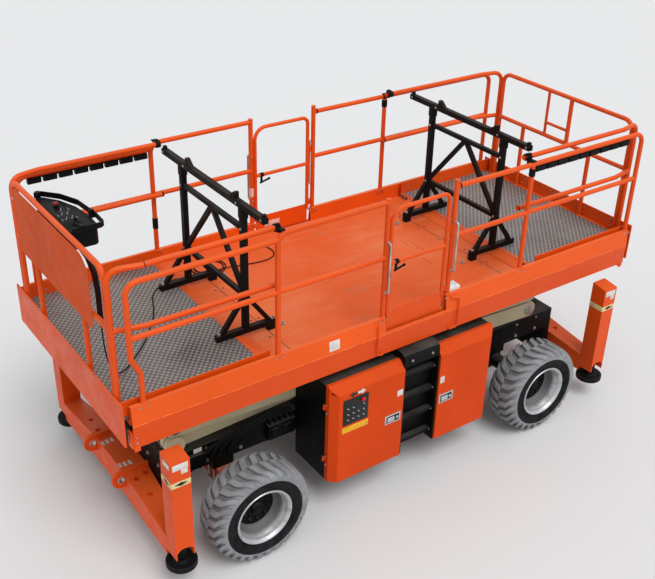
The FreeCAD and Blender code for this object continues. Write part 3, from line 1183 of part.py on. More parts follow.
def cable_tube(points, radius):
    """A tube along runs joined by arcs as large as the runs allow, and its smallest bend."""
    route = [Vector(*point) for point in points]
    bends = []
    for k in range(1, len(route) - 1):
        before, after = route[k] - route[k - 1], route[k + 1] - route[k]
        bends.append(0.45 * min(before.Length, after.Length) / math.tan(before.getAngle(after) / 2))
    path = arc_path(route, bends)
    ring = Part.Wire([Part.Circle(route[0], route[1] - route[0], radius).toShape()])
    return path.makePipeShell([ring], True, True), path, bends


cable, cable_path, cable_bends = cable_tube(cable_points, dim.cable_radius)
print("cable", round(cable_path.Length), "mm long, bends from", round(min(cable_bends)), "mm, volume share",
      round(cable.Volume / (math.pi * dim.cable_radius ** 2 * cable_path.Length), 4))
solid_node("control_cable", cable)
plug_from = Vector(*cable_points[-1])
plug_way = (plug_from - Vector(*cable_points[-2])).normalize()
plug_way = Vector(plug_way.x, plug_way.y, 0).normalize()
collar = Part.makeCone(dim.cable_radius + 1, dim.plug_radius - 2, 18, plug_from, plug_way)
plug_body = Part.makeCylinder(dim.plug_radius, dim.plug_len - 18, plug_from + plug_way * 18, plug_way)
solid_node("cable_plug", fuse([collar, plug_body]))

node("outlet_box", box("outlet_box", ("340", "450"), ("-(beam_face-beam_flange)",
                                                      "-(beam_face-beam_flange-90)"),
                       ("floor_top", "floor_top+100")))


# Check every object and write the files

doc.recompute()
for obj in doc.Objects:
    if "Invalid" in obj.State or "Error" in obj.State:
        raise RuntimeError(f"{obj.Name} failed: {obj.State}")
for label, part in NODES.items():
    if part.Shape.isNull() or not part.Shape.isValid():
        raise RuntimeError(f"{label} has no valid shape")
os.makedirs("parts", exist_ok=True)
for label, part in NODES.items():
    part.Shape.exportStep(f"parts/{label}.step")
    print(label, len(part.Shape.Solids), round(part.Shape.Volume / 1e9, 5))
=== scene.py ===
import json
import math

import bmesh
import bpy
from mathutils import Matrix, Vector

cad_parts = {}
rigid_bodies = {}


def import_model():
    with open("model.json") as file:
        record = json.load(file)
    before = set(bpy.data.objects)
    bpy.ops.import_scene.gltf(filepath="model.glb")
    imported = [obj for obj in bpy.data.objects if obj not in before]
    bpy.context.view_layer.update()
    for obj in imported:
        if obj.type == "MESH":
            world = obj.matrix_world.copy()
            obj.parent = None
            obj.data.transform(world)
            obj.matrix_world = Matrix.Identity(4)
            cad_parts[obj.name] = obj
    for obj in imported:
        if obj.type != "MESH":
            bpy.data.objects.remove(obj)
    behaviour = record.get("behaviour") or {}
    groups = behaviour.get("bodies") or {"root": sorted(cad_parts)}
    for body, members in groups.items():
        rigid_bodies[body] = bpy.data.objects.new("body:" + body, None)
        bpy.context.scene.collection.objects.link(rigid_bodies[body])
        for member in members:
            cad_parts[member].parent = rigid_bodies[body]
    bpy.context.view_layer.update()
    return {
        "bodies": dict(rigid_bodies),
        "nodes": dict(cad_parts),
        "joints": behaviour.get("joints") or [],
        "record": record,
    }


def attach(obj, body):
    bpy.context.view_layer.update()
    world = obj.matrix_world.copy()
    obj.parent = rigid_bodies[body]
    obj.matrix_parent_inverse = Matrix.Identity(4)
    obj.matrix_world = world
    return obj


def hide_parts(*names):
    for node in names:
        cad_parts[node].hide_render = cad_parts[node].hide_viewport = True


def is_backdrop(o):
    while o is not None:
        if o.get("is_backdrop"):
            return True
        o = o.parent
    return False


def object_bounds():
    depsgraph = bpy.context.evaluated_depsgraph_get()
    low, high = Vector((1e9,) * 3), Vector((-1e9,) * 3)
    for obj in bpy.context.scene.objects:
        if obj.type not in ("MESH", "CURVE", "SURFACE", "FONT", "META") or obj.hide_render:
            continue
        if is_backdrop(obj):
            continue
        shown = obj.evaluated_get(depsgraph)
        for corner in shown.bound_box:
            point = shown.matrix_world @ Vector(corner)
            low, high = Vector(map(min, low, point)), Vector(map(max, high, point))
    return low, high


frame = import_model()
nodes = frame["nodes"]


# The view of the yard
# The camera stands at the height of a first-floor window off the steer end corner,
# and looks down at the machine, as solved from the photograph's straight edges.

scene = bpy.context.scene
scene.view_settings.view_transform = "Standard"
PICTURE_WIDTH, FOCAL_PIXELS, SENSOR_WIDTH = 655, 987.69, 36
CAMERA_PLACE = Vector((-4.4505, -5.9286, 5.5745))
CAMERA_TURN, CAMERA_DIP, CAMERA_ROLL = (math.radians(a) for a in (35.7474, 29.8579, 1.518))


def placed(name, data):
    """An object made of its data and linked into the scene."""
    made = bpy.data.objects.new(name, data)
    scene.collection.objects.link(made)
    return made


forward = Vector((math.sin(CAMERA_TURN) * math.cos(CAMERA_DIP),
                  math.cos(CAMERA_TURN) * math.cos(CAMERA_DIP), -math.sin(CAMERA_DIP)))
level_right = Vector((math.cos(CAMERA_TURN), -math.sin(CAMERA_TURN), 0))
level_up = level_right.cross(forward)
right = level_right * math.cos(CAMERA_ROLL) + level_up * math.sin(CAMERA_ROLL)
up = level_up * math.cos(CAMERA_ROLL) - level_right * math.sin(CAMERA_ROLL)
camera_data = bpy.data.cameras.new("yard_camera")
camera_data.sensor_width = SENSOR_WIDTH
camera_data.lens = SENSOR_WIDTH * FOCAL_PIXELS / PICTURE_WIDTH
camera = placed("yard_camera", camera_data)
camera.matrix_world = Matrix.Translation(CAMERA_PLACE) @ Matrix((right, up, -forward)).transposed().to_4x4()
scene.camera = camera


# Light and floor
# An even sky with one soft sun from behind the camera's left shoulder, over a pale
# concrete floor; together they light a level surface at about the colour it is given.

SKY_LEVEL, SUN_LEVEL, SUN_SPREAD, FLOOR_REACH = 0.68, 1.75, 35, 60
world = bpy.data.worlds.new("sky")
scene.world = world
world.use_nodes = True
tree = world.node_tree
tree.nodes.clear()
light_path, seen, sky_light, sky_seen, mixed, sky_out = (tree.nodes.new(kind) for kind in (
    "ShaderNodeLightPath", "ShaderNodeMath", "ShaderNodeBackground", "ShaderNodeBackground",
    "ShaderNodeMixShader", "ShaderNodeOutputWorld"))
seen.operation = "MAXIMUM"
sky_light.inputs["Color"].default_value = (0.96, 0.98, 1.0, 1)
sky_light.inputs["Strength"].default_value = SKY_LEVEL
sky_seen.inputs["Color"].default_value = (0.86, 0.87, 0.88, 1)
for source, socket in ((light_path.outputs["Is Camera Ray"], seen.inputs[0]),
                       (light_path.outputs["Is Glossy Ray"], seen.inputs[1]),
                       (seen.outputs[0], mixed.inputs[0]),
                       (sky_light.outputs[0], mixed.inputs[1]),
                       (sky_seen.outputs[0], mixed.inputs[2]),
                       (mixed.outputs[0], sky_out.inputs[0])):
    tree.links.new(source, socket)

sun_data = bpy.data.lights.new("soft_sun", "SUN")
sun_data.energy = SUN_LEVEL
sun_data.angle = math.radians(SUN_SPREAD)
placed("soft_sun", sun_data).rotation_euler = (math.radians(32), math.radians(-14), math.radians(20))


def stored(name, mesh):
    """A finished bmesh written to mesh data and freed."""
    data = bpy.data.meshes.new(name)
    mesh.to_mesh(data)
    mesh.free()
    return data


floor_mesh = bmesh.new()
bmesh.ops.create_grid(floor_mesh, x_segments=1, y_segments=1, size=FLOOR_REACH)
yard_floor = placed("yard_floor", stored("yard_floor", floor_mesh))
floor_finish = bpy.data.materials.new("pale_floor")
floor_finish.use_nodes = True
floor_sockets = floor_finish.node_tree.nodes["Principled BSDF"].inputs
floor_sockets["Base Color"].default_value = (0.72, 0.72, 0.72, 1)
floor_sockets["Roughness"].default_value = 0.9
yard_floor.data.materials.append(floor_finish)
yard_floor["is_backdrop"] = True


# Chassis frame
# Two box rails with cross members and end plates, welded from steel plate and sprayed
# black; it carries the axles, the arms, the side trays and both outriggers.

def noise(tree, scale, detail, stretch=(1, 1, 1)):
    """Cloudy noise over the piece's own coordinates, in metres."""
    place = tree.nodes.new("ShaderNodeTexCoord")
    turn = tree.nodes.new("ShaderNodeMapping")
    turn.inputs["Scale"].default_value = stretch
    cloud = tree.nodes.new("ShaderNodeTexNoise")
    cloud.inputs["Scale"].default_value = scale
    cloud.inputs["Detail"].default_value = detail
    tree.links.new(place.outputs["Object"], turn.inputs["Vector"])
    tree.links.new(turn.outputs[0], cloud.inputs["Vector"])
    return cloud.outputs["Fac"]


def ramp(tree, value, low, high, out_low=0.0, out_high=1.0):
    """A value mapped from one span to another, held at its ends."""
    span = tree.nodes.new("ShaderNodeMapRange")
    for socket, number in zip(("From Min", "From Max", "To Min", "To Max"), (low, high, out_low, out_high)):
        span.inputs[socket].default_value = number
    tree.links.new(value, span.inputs["Value"])
    return span.outputs[0]


def cloudy(tree, scale, detail, low, high, out_low=0.0, out_high=1.0, stretch=(1, 1, 1)):
    """Noise of a scale and detail, with one span of it mapped to another."""
    return ramp(tree, noise(tree, scale, detail, stretch), low, high, out_low, out_high)


def tint(tree, share, under, over):
    """Two colours, or a colour laid over another's socket, mixed by a share."""
    blend = tree.nodes.new("ShaderNodeMix")
    blend.data_type = "RGBA"
    tree.links.new(share, blend.inputs["Factor"])
    for socket, colour in ((blend.inputs["A"], under), (blend.inputs["B"], over)):
        if isinstance(colour, tuple):
            socket.default_value = (*colour, 1)
        else:
            tree.links.new(colour, socket)
    return blend.outputs["Result"]


def reckon(tree, operation, *values):
    """The result of an operation on sockets and plain numbers."""
    worked = tree.nodes.new("ShaderNodeMath")
    worked.operation = operation
    for socket, value in zip(worked.inputs, values):
        if isinstance(value, float):
            socket.default_value = value
        else:
            tree.links.new(value, socket)
    return worked.outputs[0]


def product(tree, one, other):
    return reckon(tree, "MULTIPLY", one, other)


def own_place(tree):
    """The piece's own coordinates, whole and split into axes."""
    place = tree.nodes.new("ShaderNodeTexCoord").outputs["Object"]
    split = tree.nodes.new("ShaderNodeSeparateXYZ")
    tree.links.new(place, split.inputs[0])
    return place, split.outputs


def upward(tree):
    """How far a surface faces the sky, where dust settles."""
    normal = tree.nodes.new("ShaderNodeNewGeometry")
    split = tree.nodes.new("ShaderNodeSeparateXYZ")
    tree.links.new(normal.outputs["Normal"], split.inputs[0])
    return ramp(tree, split.outputs["Z"], 0.35, 0.95)


def feed(material, value, socket="Base Color"):
    """Leads a pattern into one of a material's sockets."""
    material.node_tree.links.new(value, material.node_tree.nodes["Principled BSDF"].inputs[socket])


def bumped(material, height, strength, distance):
    """Raises a material's surface by a pattern."""
    bump = material.node_tree.nodes.new("ShaderNodeBump")
    bump.inputs["Strength"].default_value = strength
    bump.inputs["Distance"].default_value = distance
    material.node_tree.links.new(height, bump.inputs["Height"])
    feed(material, bump.outputs[0], "Normal")


def shader(name, colour, roughness, metallic=0.0, gloss=0.22, cloud=(), colours=(), polish=(), grain=()):
    """A material low in gloss. Cloud mottles it with two colours and polish varies its roughness, both
    by cloudy's numbers; grain is a noise's scale and detail, and a bump's strength and distance."""
    material = bpy.data.materials.new(name)
    material.use_nodes = True
    tree = material.node_tree
    for socket, value in (("Base Color", (*colour, 1)), ("Roughness", roughness), ("Metallic", metallic),
                          ("Specular IOR Level", gloss)):
        tree.nodes["Principled BSDF"].inputs[socket].default_value = value
    if cloud:
        feed(material, tint(tree, cloudy(tree, *cloud), *colours))
    if polish:
        feed(material, cloudy(tree, *polish), "Roughness")
    if grain:
        scale, detail, strength, distance, *stretch = grain
        bumped(material, noise(tree, scale, detail, *stretch), strength, distance)
    return material


def enamel(name, colour, dust=(0.45, 0.42, 0.36), dusty=0.25, chipped=0.3, metal=(0.16, 0.13, 0.11),
           roughness=0.38, gloss=0.22):
    """Sprayed enamel over steel: cloudy shade, settled dust, small chips and orange peel."""
    material = shader(name, colour, roughness, gloss=gloss, grain=(340, 2, 0.06, 0.001),
                      polish=(9, 6, 0.3, 0.7, roughness - 0.05, roughness + 0.16))
    tree = material.node_tree
    darker = tuple(c * 0.86 for c in colour)
    painted = tint(tree, cloudy(tree, 1.7, 4, 0.3, 0.7), darker, colour)
    settled = product(tree, cloudy(tree, 3.1, 7, 0.35, 0.75, 0.15, dusty), upward(tree))
    painted = tint(tree, settled, painted, dust)
    chips = product(tree, cloudy(tree, 62, 3, 0.70, 0.74), chipped)
    feed(material, tint(tree, chips, painted, metal))
    return material


def dress(material, *names):
    """Gives a material to every face of some solids."""
    for name in names:
        for place in nodes[name].material_slots:
            place.material = material


def block(mesh, low, high, round_off=0.0, turn=Matrix(), steps=2):
    """A cuboid between two corners, turned into place, its edges rounded."""
    low, high = Vector(low), Vector(high)
    corners = bmesh.ops.create_cube(mesh, size=1)["verts"]
    bmesh.ops.scale(mesh, vec=high - low, verts=corners)
    bmesh.ops.translate(mesh, vec=(low + high) / 2, verts=corners)
    bmesh.ops.transform(mesh, matrix=turn, verts=corners)
    if round_off:
        edges = list({edge for corner in corners for edge in corner.link_edges})
        bmesh.ops.bevel(mesh, geom=edges, offset=round_off, affect="EDGES", segments=steps, profile=0.5,
                        material=-1)


def bar(mesh, start, end, radius, end_radius=None, sides=24, round_off=0.0):
    """A round bar, cone or disc from one point to another, its rims rounded."""
    start, end = Vector(start), Vector(end)
    way = end - start
    place = Matrix.Translation((start + end) / 2) @ way.to_track_quat("Z", "Y").to_matrix().to_4x4()
    made = bmesh.ops.create_cone(mesh, cap_ends=True, segments=sides, radius1=radius,
                                 radius2=end_radius or radius, depth=way.length, matrix=place)["verts"]
    if round_off:
        rims = [edge for edge in {edge for vert in made for edge in vert.link_edges}
                if any(len(face.verts) > 4 for face in edge.link_faces)]
        bmesh.ops.bevel(mesh, geom=rims, offset=round_off, affect="EDGES", segments=2, profile=0.5,
                        material=-1)


def bolt(mesh, place, way, size=0.009):
    """A hexagon bolt head on its washer, seated at a place and facing a way."""
    place, way = Vector(place), Vector(way).normalized()
    bar(mesh, place, place + way * size * 0.25, size * 1.25, sides=20)
    bar(mesh, place + way * size * 0.25, place + way * size * 0.95, size, sides=6, round_off=size * 0.1)


def turned(mesh, outline, foot, way, steps=48):
    """An outline of (radius, height) points spun about an axis that starts at a foot."""
    turn = Matrix.Translation(Vector(foot)) @ Vector(way).to_track_quat("Z", "Y").to_matrix().to_4x4()
    ring = [mesh.verts.new((radius, 0, height)) for radius, height in outline]
    runs = [mesh.edges.new(pair) for pair in zip(ring, ring[1:])]
    bmesh.ops.transform(mesh, matrix=turn, verts=ring)
    bmesh.ops.spin(mesh, geom=ring + runs, cent=Vector(foot), axis=Vector(way).normalized(), angle=math.tau,
                   steps=steps, use_merge=True)


def verts_of(geometry):
    return [part for part in geometry if isinstance(part, bmesh.types.BMVert)]


def both_sides(mesh):
    """A second copy of all that is in the mesh, across the machine's middle."""
    copied = bmesh.ops.duplicate(mesh, geom=mesh.verts[:] + mesh.edges[:] + mesh.faces[:])["geom"]
    bmesh.ops.scale(mesh, vec=(1, -1, 1), verts=verts_of(copied))


def riding(made, body):
    """An object fixed to a body."""
    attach(made, body)
    return made


def piece(name, mesh, body, slot, *materials, crease=35):
    """Makes a mesh into a riding piece: doubles merged, faces outward, smooth but for its creases."""
    bmesh.ops.remove_doubles(mesh, verts=mesh.verts, dist=0.00001)
    bmesh.ops.recalc_face_normals(mesh, faces=mesh.faces)
    data = stored(name, mesh)
    data.shade_smooth()
    data.set_sharp_from_angle(angle=math.radians(crease))
    for material in materials:
        data.materials.append(material)
    return riding(placed(name, data), body)


def bent_rod(name, points, thick, body, material):
    """A hose or bent rod of one thickness on a smooth line through its control points."""
    curve = bpy.data.curves.new(name, "CURVE")
    curve.dimensions = "3D"
    spline = curve.splines.new("NURBS")
    spline.points.add(len(points) - 1)
    for point, place in zip(spline.points, points):
        point.co = (*place, 1)
    spline.order_u = 3
    spline.use_endpoint_u = True
    spline.resolution_u = 6
    curve.bevel_depth = thick
    curve.bevel_resolution = 3
    curve.use_fill_caps = True
    curve.materials.append(material)
    return riding(placed(name, curve), body)


SIDES, ENDS, WAYS = ("near", "far"), ("left", "right"), (("left", -1), ("right", 1))
LEFT, RIGHT, UP, DOWN, OUTWARD, INWARD = (-1, 0, 0), (1, 0, 0), (0, 0, 1), (0, 0, -1), (0, -1, 0), (0, 1, 0)
DULL = 0.10
black_enamel = enamel("black_enamel", (0.0035, 0.0035, 0.0038), dusty=0.03, chipped=0.05, roughness=0.46,
                      gloss=DULL)
zinc_bolt = shader("zinc_bolt", (0.48, 0.47, 0.43), 0.35, 0.85, grain=(260, 3, 0.15, 0.0006),
                   cloud=(45, 6, 0.4, 0.7), colours=((0.5, 0.49, 0.45), (0.28, 0.26, 0.22)))
sticker_white = shader("blank_white_label", (0.66, 0.65, 0.62), 0.45, cloud=(30, 6, 0.45, 0.8),
                       colours=((0.68, 0.67, 0.64), (0.44, 0.42, 0.38)))
hose_rubber = shader("hose_rubber", (0.006, 0.006, 0.0065), 0.6, gloss=DULL,
                     grain=(420, 2, 0.25, 0.001, (1, 1, 3)))
dress(black_enamel, "chassis_frame", "platform_underframe", "slide_pads")

FRAME_SIDE, FRAME_LOW, FRAME_HIGH, FRAME_END = 0.570, 0.560, 0.7597, 2.060
mesh = bmesh.new()
for x in (-1.90, -1.70, -1.40, -1.15, 1.05, 1.25, 1.60, 1.85):
    bolt(mesh, (x, -FRAME_SIDE, FRAME_LOW + 0.045), OUTWARD, 0.013)
    bolt(mesh, (x, -FRAME_SIDE, FRAME_HIGH - 0.035), OUTWARD, 0.010)
for end, way in WAYS:
    for y in (-0.48, -0.30):
        bolt(mesh, (way * FRAME_END, y, 0.66), (way, 0, 0), 0.014)
both_sides(mesh)
piece("frame_bolts", mesh, "chassis", "black_paint", zinc_bolt)

VALVE_Y, PORT_LOW, PORT_TOP = -0.602, 0.738, 0.775
VALVE_PORTS = ((-1.145, -1.62, 0.82), (-1.095, -1.70, 0.85), (-1.045, -1.55, 0.87), (-0.995, -1.46, 0.84),
               (-0.945, -1.78, 0.83))
mesh = bmesh.new()
for low, high in (((-1.17, -0.632, 0.60), (-0.92, -0.572, 0.74)), ((-1.15, -0.648, 0.63), (-1.08, -0.630, 0.71)),
                  ((-1.04, -0.644, 0.63), (-0.97, -0.630, 0.71)), ((-1.86, -0.610, 0.62), (-1.72, -0.572, 0.72))):
    block(mesh, low, high, 0.006)
for x, reach, height in VALVE_PORTS:
    bar(mesh, (x, VALVE_Y, PORT_LOW), (x, VALVE_Y, PORT_TOP), 0.012, round_off=0.002)
    bar(mesh, (x, VALVE_Y, PORT_TOP), (x, VALVE_Y, 0.79), 0.016, sides=6, round_off=0.001)
both_sides(mesh)
piece("hydraulic_valves", mesh, "chassis", "dark_steel", black_enamel)
for number, (x, reach, height) in enumerate(VALVE_PORTS):
    bent_rod(f"valve_hose_{number + 1}",
             [(x, VALVE_Y, PORT_TOP), (x, VALVE_Y, height), (x - 0.09, -0.600, height + 0.01),
              ((x + reach) / 2, -0.590, 0.80), (reach, -0.588, 0.72), (reach - 0.06, -0.585, 0.62),
              (reach - 0.05, -0.55, 0.545)], 0.011, "chassis", hose_rubber)

mesh = bmesh.new()
block(mesh, (-1.81, -FRAME_SIDE - 0.001, 0.695), (-1.738, -FRAME_SIDE + 0.001, 0.755), 0.0004)
piece("frame_blank_plate", mesh, "chassis", "galvanised_steel", sticker_white)


# Axles
# The steer axle is a red box beam with forks for its knuckles, the drive axle a black
# casing with tubes; both are bolted to pads under the frame rails.

red_enamel = enamel("axle_red_enamel", (0.50, 0.050, 0.008), dusty=0.35, chipped=0.5)
dress(red_enamel, "steer_axle", "knuckle_near", "knuckle_far")
dress(black_enamel, "drive_axle")
STEER_X, DRIVE_X, AXLE_Z, AXLE_HALF = -1.554, 1.372, 0.419, 0.066

mesh = bmesh.new()
for axle in (STEER_X, DRIVE_X):
    for x in (axle - 0.072, axle + 0.072):
        for y in (-0.54, -0.46):
            bar(mesh, (x, y, AXLE_Z - 0.05), (x, y, FRAME_LOW), 0.009, sides=12)
            bolt(mesh, (x, y, AXLE_Z - 0.05), DOWN, 0.012)
    block(mesh, (axle - 0.085, -0.555, AXLE_Z - 0.085), (axle + 0.085, -0.445, AXLE_Z - AXLE_HALF - 0.0005),
          0.003)
both_sides(mesh)
piece("axle_clamps", mesh, "chassis", "black_paint", zinc_bolt)

CYLINDER_X, CYLINDER_HALF = STEER_X - 0.10, 0.30
mesh = bmesh.new()
bar(mesh, (CYLINDER_X, -CYLINDER_HALF, AXLE_Z), (CYLINDER_X, CYLINDER_HALF, AXLE_Z), 0.034, round_off=0.004)
for y in (-CYLINDER_HALF, -0.26, 0.26, CYLINDER_HALF):
    bar(mesh, (CYLINDER_X, y - 0.012, AXLE_Z), (CYLINDER_X, y + 0.012, AXLE_Z), 0.039, round_off=0.003)
for y in (-0.22, 0.22):
    block(mesh, (STEER_X - 0.12, y - 0.02, AXLE_Z - 0.04),
          (STEER_X - AXLE_HALF + 0.002, y + 0.02, AXLE_Z + 0.04), 0.004)
    bar(mesh, (CYLINDER_X, y, AXLE_Z + 0.03), (CYLINDER_X, y, AXLE_Z + 0.06), 0.013, sides=6, round_off=0.002)
piece("steering_cylinder", mesh, "chassis", "dark_steel", black_enamel)

COVER_BOLTS, COVER_REACH = 10, 0.112
mesh = bmesh.new()
turned(mesh, [(0.0, 0.0), (0.115, 0.0), (0.125, 0.010), (0.125, 0.022), (0.105, 0.034), (0.060, 0.040),
              (0.0, 0.042)], (DRIVE_X + 0.169, 0, AXLE_Z), RIGHT, 40)
for k in range(COVER_BOLTS):
    turn = math.tau * k / COVER_BOLTS
    bolt(mesh, (DRIVE_X + 0.19, COVER_REACH * math.cos(turn), AXLE_Z + COVER_REACH * math.sin(turn)), RIGHT)
piece("drive_casing_cover", mesh, "chassis", "black_paint", black_enamel)


# Wheels
# Rough-terrain wheels: deep dished steel rims with a bright turned lip and a black bolted
# hub, in grey non-marking tyres with knee-bent lugs and a black ring at the bead.

WHEEL_RADIUS, TYRE_OUT, TYRE_IN = 0.419, 1.200, 0.880
TYRE_MIDDLE = (TYRE_OUT + TYRE_IN) / 2
LUGS, LUG_DEPTH, LUG_END_DEPTH = 28, 0.045, 0.020
RING_EDGE, GAP_START = 0.326, 0.370

grey_tread = shader("grey_tread_rubber", (0.27, 0.268, 0.262), 0.8, grain=(190, 5, 0.2, 0.001))
tree = grey_tread.node_tree
dusty_grey = tint(tree, cloudy(tree, 9, 8, 0.35, 0.7), (0.205, 0.210, 0.220), (0.300, 0.308, 0.322))
scuffed = product(tree, cloudy(tree, 70, 5, 0.55, 0.72), 0.35)
feed(grey_tread, tint(tree, scuffed, dusty_grey, (0.15, 0.142, 0.13)))
# Painted shade and dirt: the rubber between the lugs is coloured darker than the tread, as if shaded and dirty in
# the gaps.
gap_rubber_dirt_and_shade = shader("tread_gap_dirt_and_shade_rubber", (0.10, 0.10, 0.102), 0.9, cloud=(12, 7, 0.35, 0.7),
                    colours=((0.150, 0.153, 0.160), (0.225, 0.230, 0.240)))
black_ring = shader("black_sidewall_rubber", (0.03, 0.031, 0.033), 0.62, gloss=DULL,
                    cloud=(14, 7, 0.35, 0.75), colours=((0.0055, 0.0058, 0.0065), (0.018, 0.0185, 0.020)),
                    grain=(150, 4, 0.2, 0.001))
ABOUT_AXLE = {"foot": (0, 0, 0), "way": OUTWARD}


def ring_distance(face):
    """How far a wheel's face lies from the wheel's axle."""
    centre = face.calc_center_median()
    return math.hypot(centre.x, centre.z)


SIDEWALL = [(0.2215, 0.120), (0.2225, 0.137), (0.230, 0.1445), (0.242, 0.1455), (0.247, 0.1410), (0.254, 0.1415),
            (0.258, 0.1475), (0.268, 0.1495), (0.272, 0.1455), (0.277, 0.1460), (0.281, 0.1515), (0.294, 0.1545),
            (0.298, 0.1510), (0.303, 0.1515), (0.307, 0.1558), (RING_EDGE, 0.1565), (RING_EDGE + 0.001, 0.1580),
            (0.336, 0.1585), (0.350, 0.153), (0.363, 0.142), (0.377, 0.124), (0.386, 0.098), (0.3900, 0.062),
            (0.3915, 0.026), (0.392, 0.0)]
wheel_mesh = bmesh.new()
half = SIDEWALL + [(radius, -across) for radius, across in reversed(SIDEWALL[:-1])] + [SIDEWALL[0]]
turned(wheel_mesh, half, **ABOUT_AXLE, steps=96)
bmesh.ops.remove_doubles(wheel_mesh, verts=wheel_mesh.verts, dist=0.00001)
for face in wheel_mesh.faces:
    distance = ring_distance(face)
    face.material_index = 1 if distance < RING_EDGE + 0.0004 else 2 if distance > GAP_START else 0
LUG_LINE = [(0.004, -0.088, 0.4166, 0.0235), (0.040, -0.078, 0.4168, 0.0240), (0.078, -0.066, 0.4152, 0.0245),
            (0.096, -0.056, 0.4118, 0.0260), (0.118, -0.026, 0.4055, 0.0265), (0.135, -0.004, 0.3970, 0.0260),
            (0.148, 0.012, 0.3845, 0.0240), (0.1590, 0.022, 0.3640, 0.0210), (0.1592, 0.026, 0.3460, 0.0160)]
lug_mesh = bmesh.new()
bmesh.ops.create_grid(lug_mesh, x_segments=2, y_segments=len(LUG_LINE) - 1, size=1)
rows = sorted(lug_mesh.verts, key=lambda vert: (round(vert.co.y, 4), vert.co.x))
for k, (across, along, radius, half_wide) in enumerate(LUG_LINE):
    for j, vert in enumerate(rows[3 * k:3 * k + 3]):
        turn = (along + (j - 1) * half_wide) / WHEEL_RADIUS
        vert.co = (radius * math.sin(turn), -across, radius * math.cos(turn))
top = lug_mesh.faces[:]
for vert in verts_of(bmesh.ops.extrude_face_region(lug_mesh, geom=top, use_keep_orig=True)["geom"]):
    across = -vert.co.y
    deep = LUG_DEPTH if across < 0.15 else LUG_END_DEPTH
    vert.co -= (vert.co - Vector((0, -min(across, 0.118), 0))).normalized() * deep
bmesh.ops.recalc_face_normals(lug_mesh, faces=lug_mesh.faces)
crest = [edge for edge in lug_mesh.edges if edge.calc_face_angle(0) > 0.9
         and any(face in set(top) for face in edge.link_faces)]
bmesh.ops.bevel(lug_mesh, geom=crest, offset=0.0025, affect="EDGES", segments=1, profile=0.5, material=-1)
lug_data = stored("lug", lug_mesh)
for k in range(2 * LUGS):
    before = set(wheel_mesh.verts)
    wheel_mesh.from_mesh(lug_data)
    fresh = [vert for vert in wheel_mesh.verts if vert not in before]
    if k % 2:
        bmesh.ops.scale(wheel_mesh, vec=(1, -1, 1), verts=fresh)
    lug_turn = Matrix.Rotation(math.tau * k / (2 * LUGS), 3, "Y")
    bmesh.ops.rotate(wheel_mesh, cent=(0, 0, 0), matrix=lug_turn, verts=fresh)
tyre_data = stored("tyre", wheel_mesh)
bpy.data.meshes.remove(lug_data)

bright_lip = shader("turned_rim_steel", (0.50, 0.505, 0.52), 0.4, 0.7, polish=(60, 6, 0.3, 0.7, 0.34, 0.55),
                    cloud=(16, 7, 0.5, 0.78), colours=((0.52, 0.525, 0.54), (0.30, 0.285, 0.26)))
disc_grey = enamel("rim_disc_grey", (0.12, 0.122, 0.128), dusty=0.2, chipped=0.3, roughness=0.5)
RIM = [(0.120, 1.040), (0.150, 1.044), (0.168, 1.052), (0.180, 1.066), (0.186, 1.082), (0.191, 1.106),
       (0.195, 1.111), (0.200, 1.140), (0.204, 1.146), (0.208, 1.168), (0.212, 1.178), (0.219, 1.187),
       (0.227, 1.194), (0.234, 1.195), (0.238, 1.190), (0.238, 1.184), (0.232, 1.182), (0.2212, 1.174),
       (0.2212, 0.905), (0.232, 0.898), (0.238, 0.895), (0.238, 0.888), (0.228, 0.886), (0.214, 0.896),
       (0.206, 0.920), (0.200, 0.985), (0.178, 1.020), (0.150, 1.030), (0.120, 1.030)]
DISC_EDGE, DISC_BACK = 0.1965, 1.03
rim_mesh = bmesh.new()
turned(rim_mesh, [(radius, place - TYRE_MIDDLE) for radius, place in RIM + RIM[:1]], **ABOUT_AXLE, steps=96)
bmesh.ops.remove_doubles(rim_mesh, verts=rim_mesh.verts, dist=0.00001)
for face in rim_mesh.faces:
    behind = TYRE_MIDDLE - face.calc_center_median().y < DISC_BACK
    face.material_index = 1 if ring_distance(face) < DISC_EDGE or behind else 0
rim_data = stored("rim", rim_mesh)

HUB_FACE, HUB_NUTS, CAP_SCREWS = 1.090, 9, 6
HUB = [(0.0, HUB_FACE), (0.030, HUB_FACE), (0.044, HUB_FACE - 0.006), (0.050, HUB_FACE - 0.018), (0.052, 1.064),
       (0.072, 1.060), (0.078, 1.054), (0.148, 1.053), (0.156, 1.0485), (0.156, 1.041), (0.098, 1.040),
       (0.098, 0.947), (0.036, 0.947)]
hub_mesh = bmesh.new()
turned(hub_mesh, [(radius, place - TYRE_MIDDLE) for radius, place in HUB], **ABOUT_AXLE, steps=64)
for k in range(HUB_NUTS):
    turn = math.tau * k / HUB_NUTS
    seat = Vector((0.105 * math.cos(turn), TYRE_MIDDLE - 1.053, 0.105 * math.sin(turn)))
    bar(hub_mesh, seat, seat - Vector((0, 0.016, 0)), 0.013, sides=6, round_off=0.002)
    bar(hub_mesh, seat, seat - Vector((0, 0.030, 0)), 0.006, sides=12, round_off=0.001)
for k in range(CAP_SCREWS):
    turn = math.tau * (k + 0.5) / CAP_SCREWS
    seat = Vector((0.036 * math.cos(turn), TYRE_MIDDLE - 1.087, 0.036 * math.sin(turn)))
    bar(hub_mesh, seat, seat - Vector((0, 0.006, 0)), 0.005, sides=6)
hub_data = stored("hub", hub_mesh)

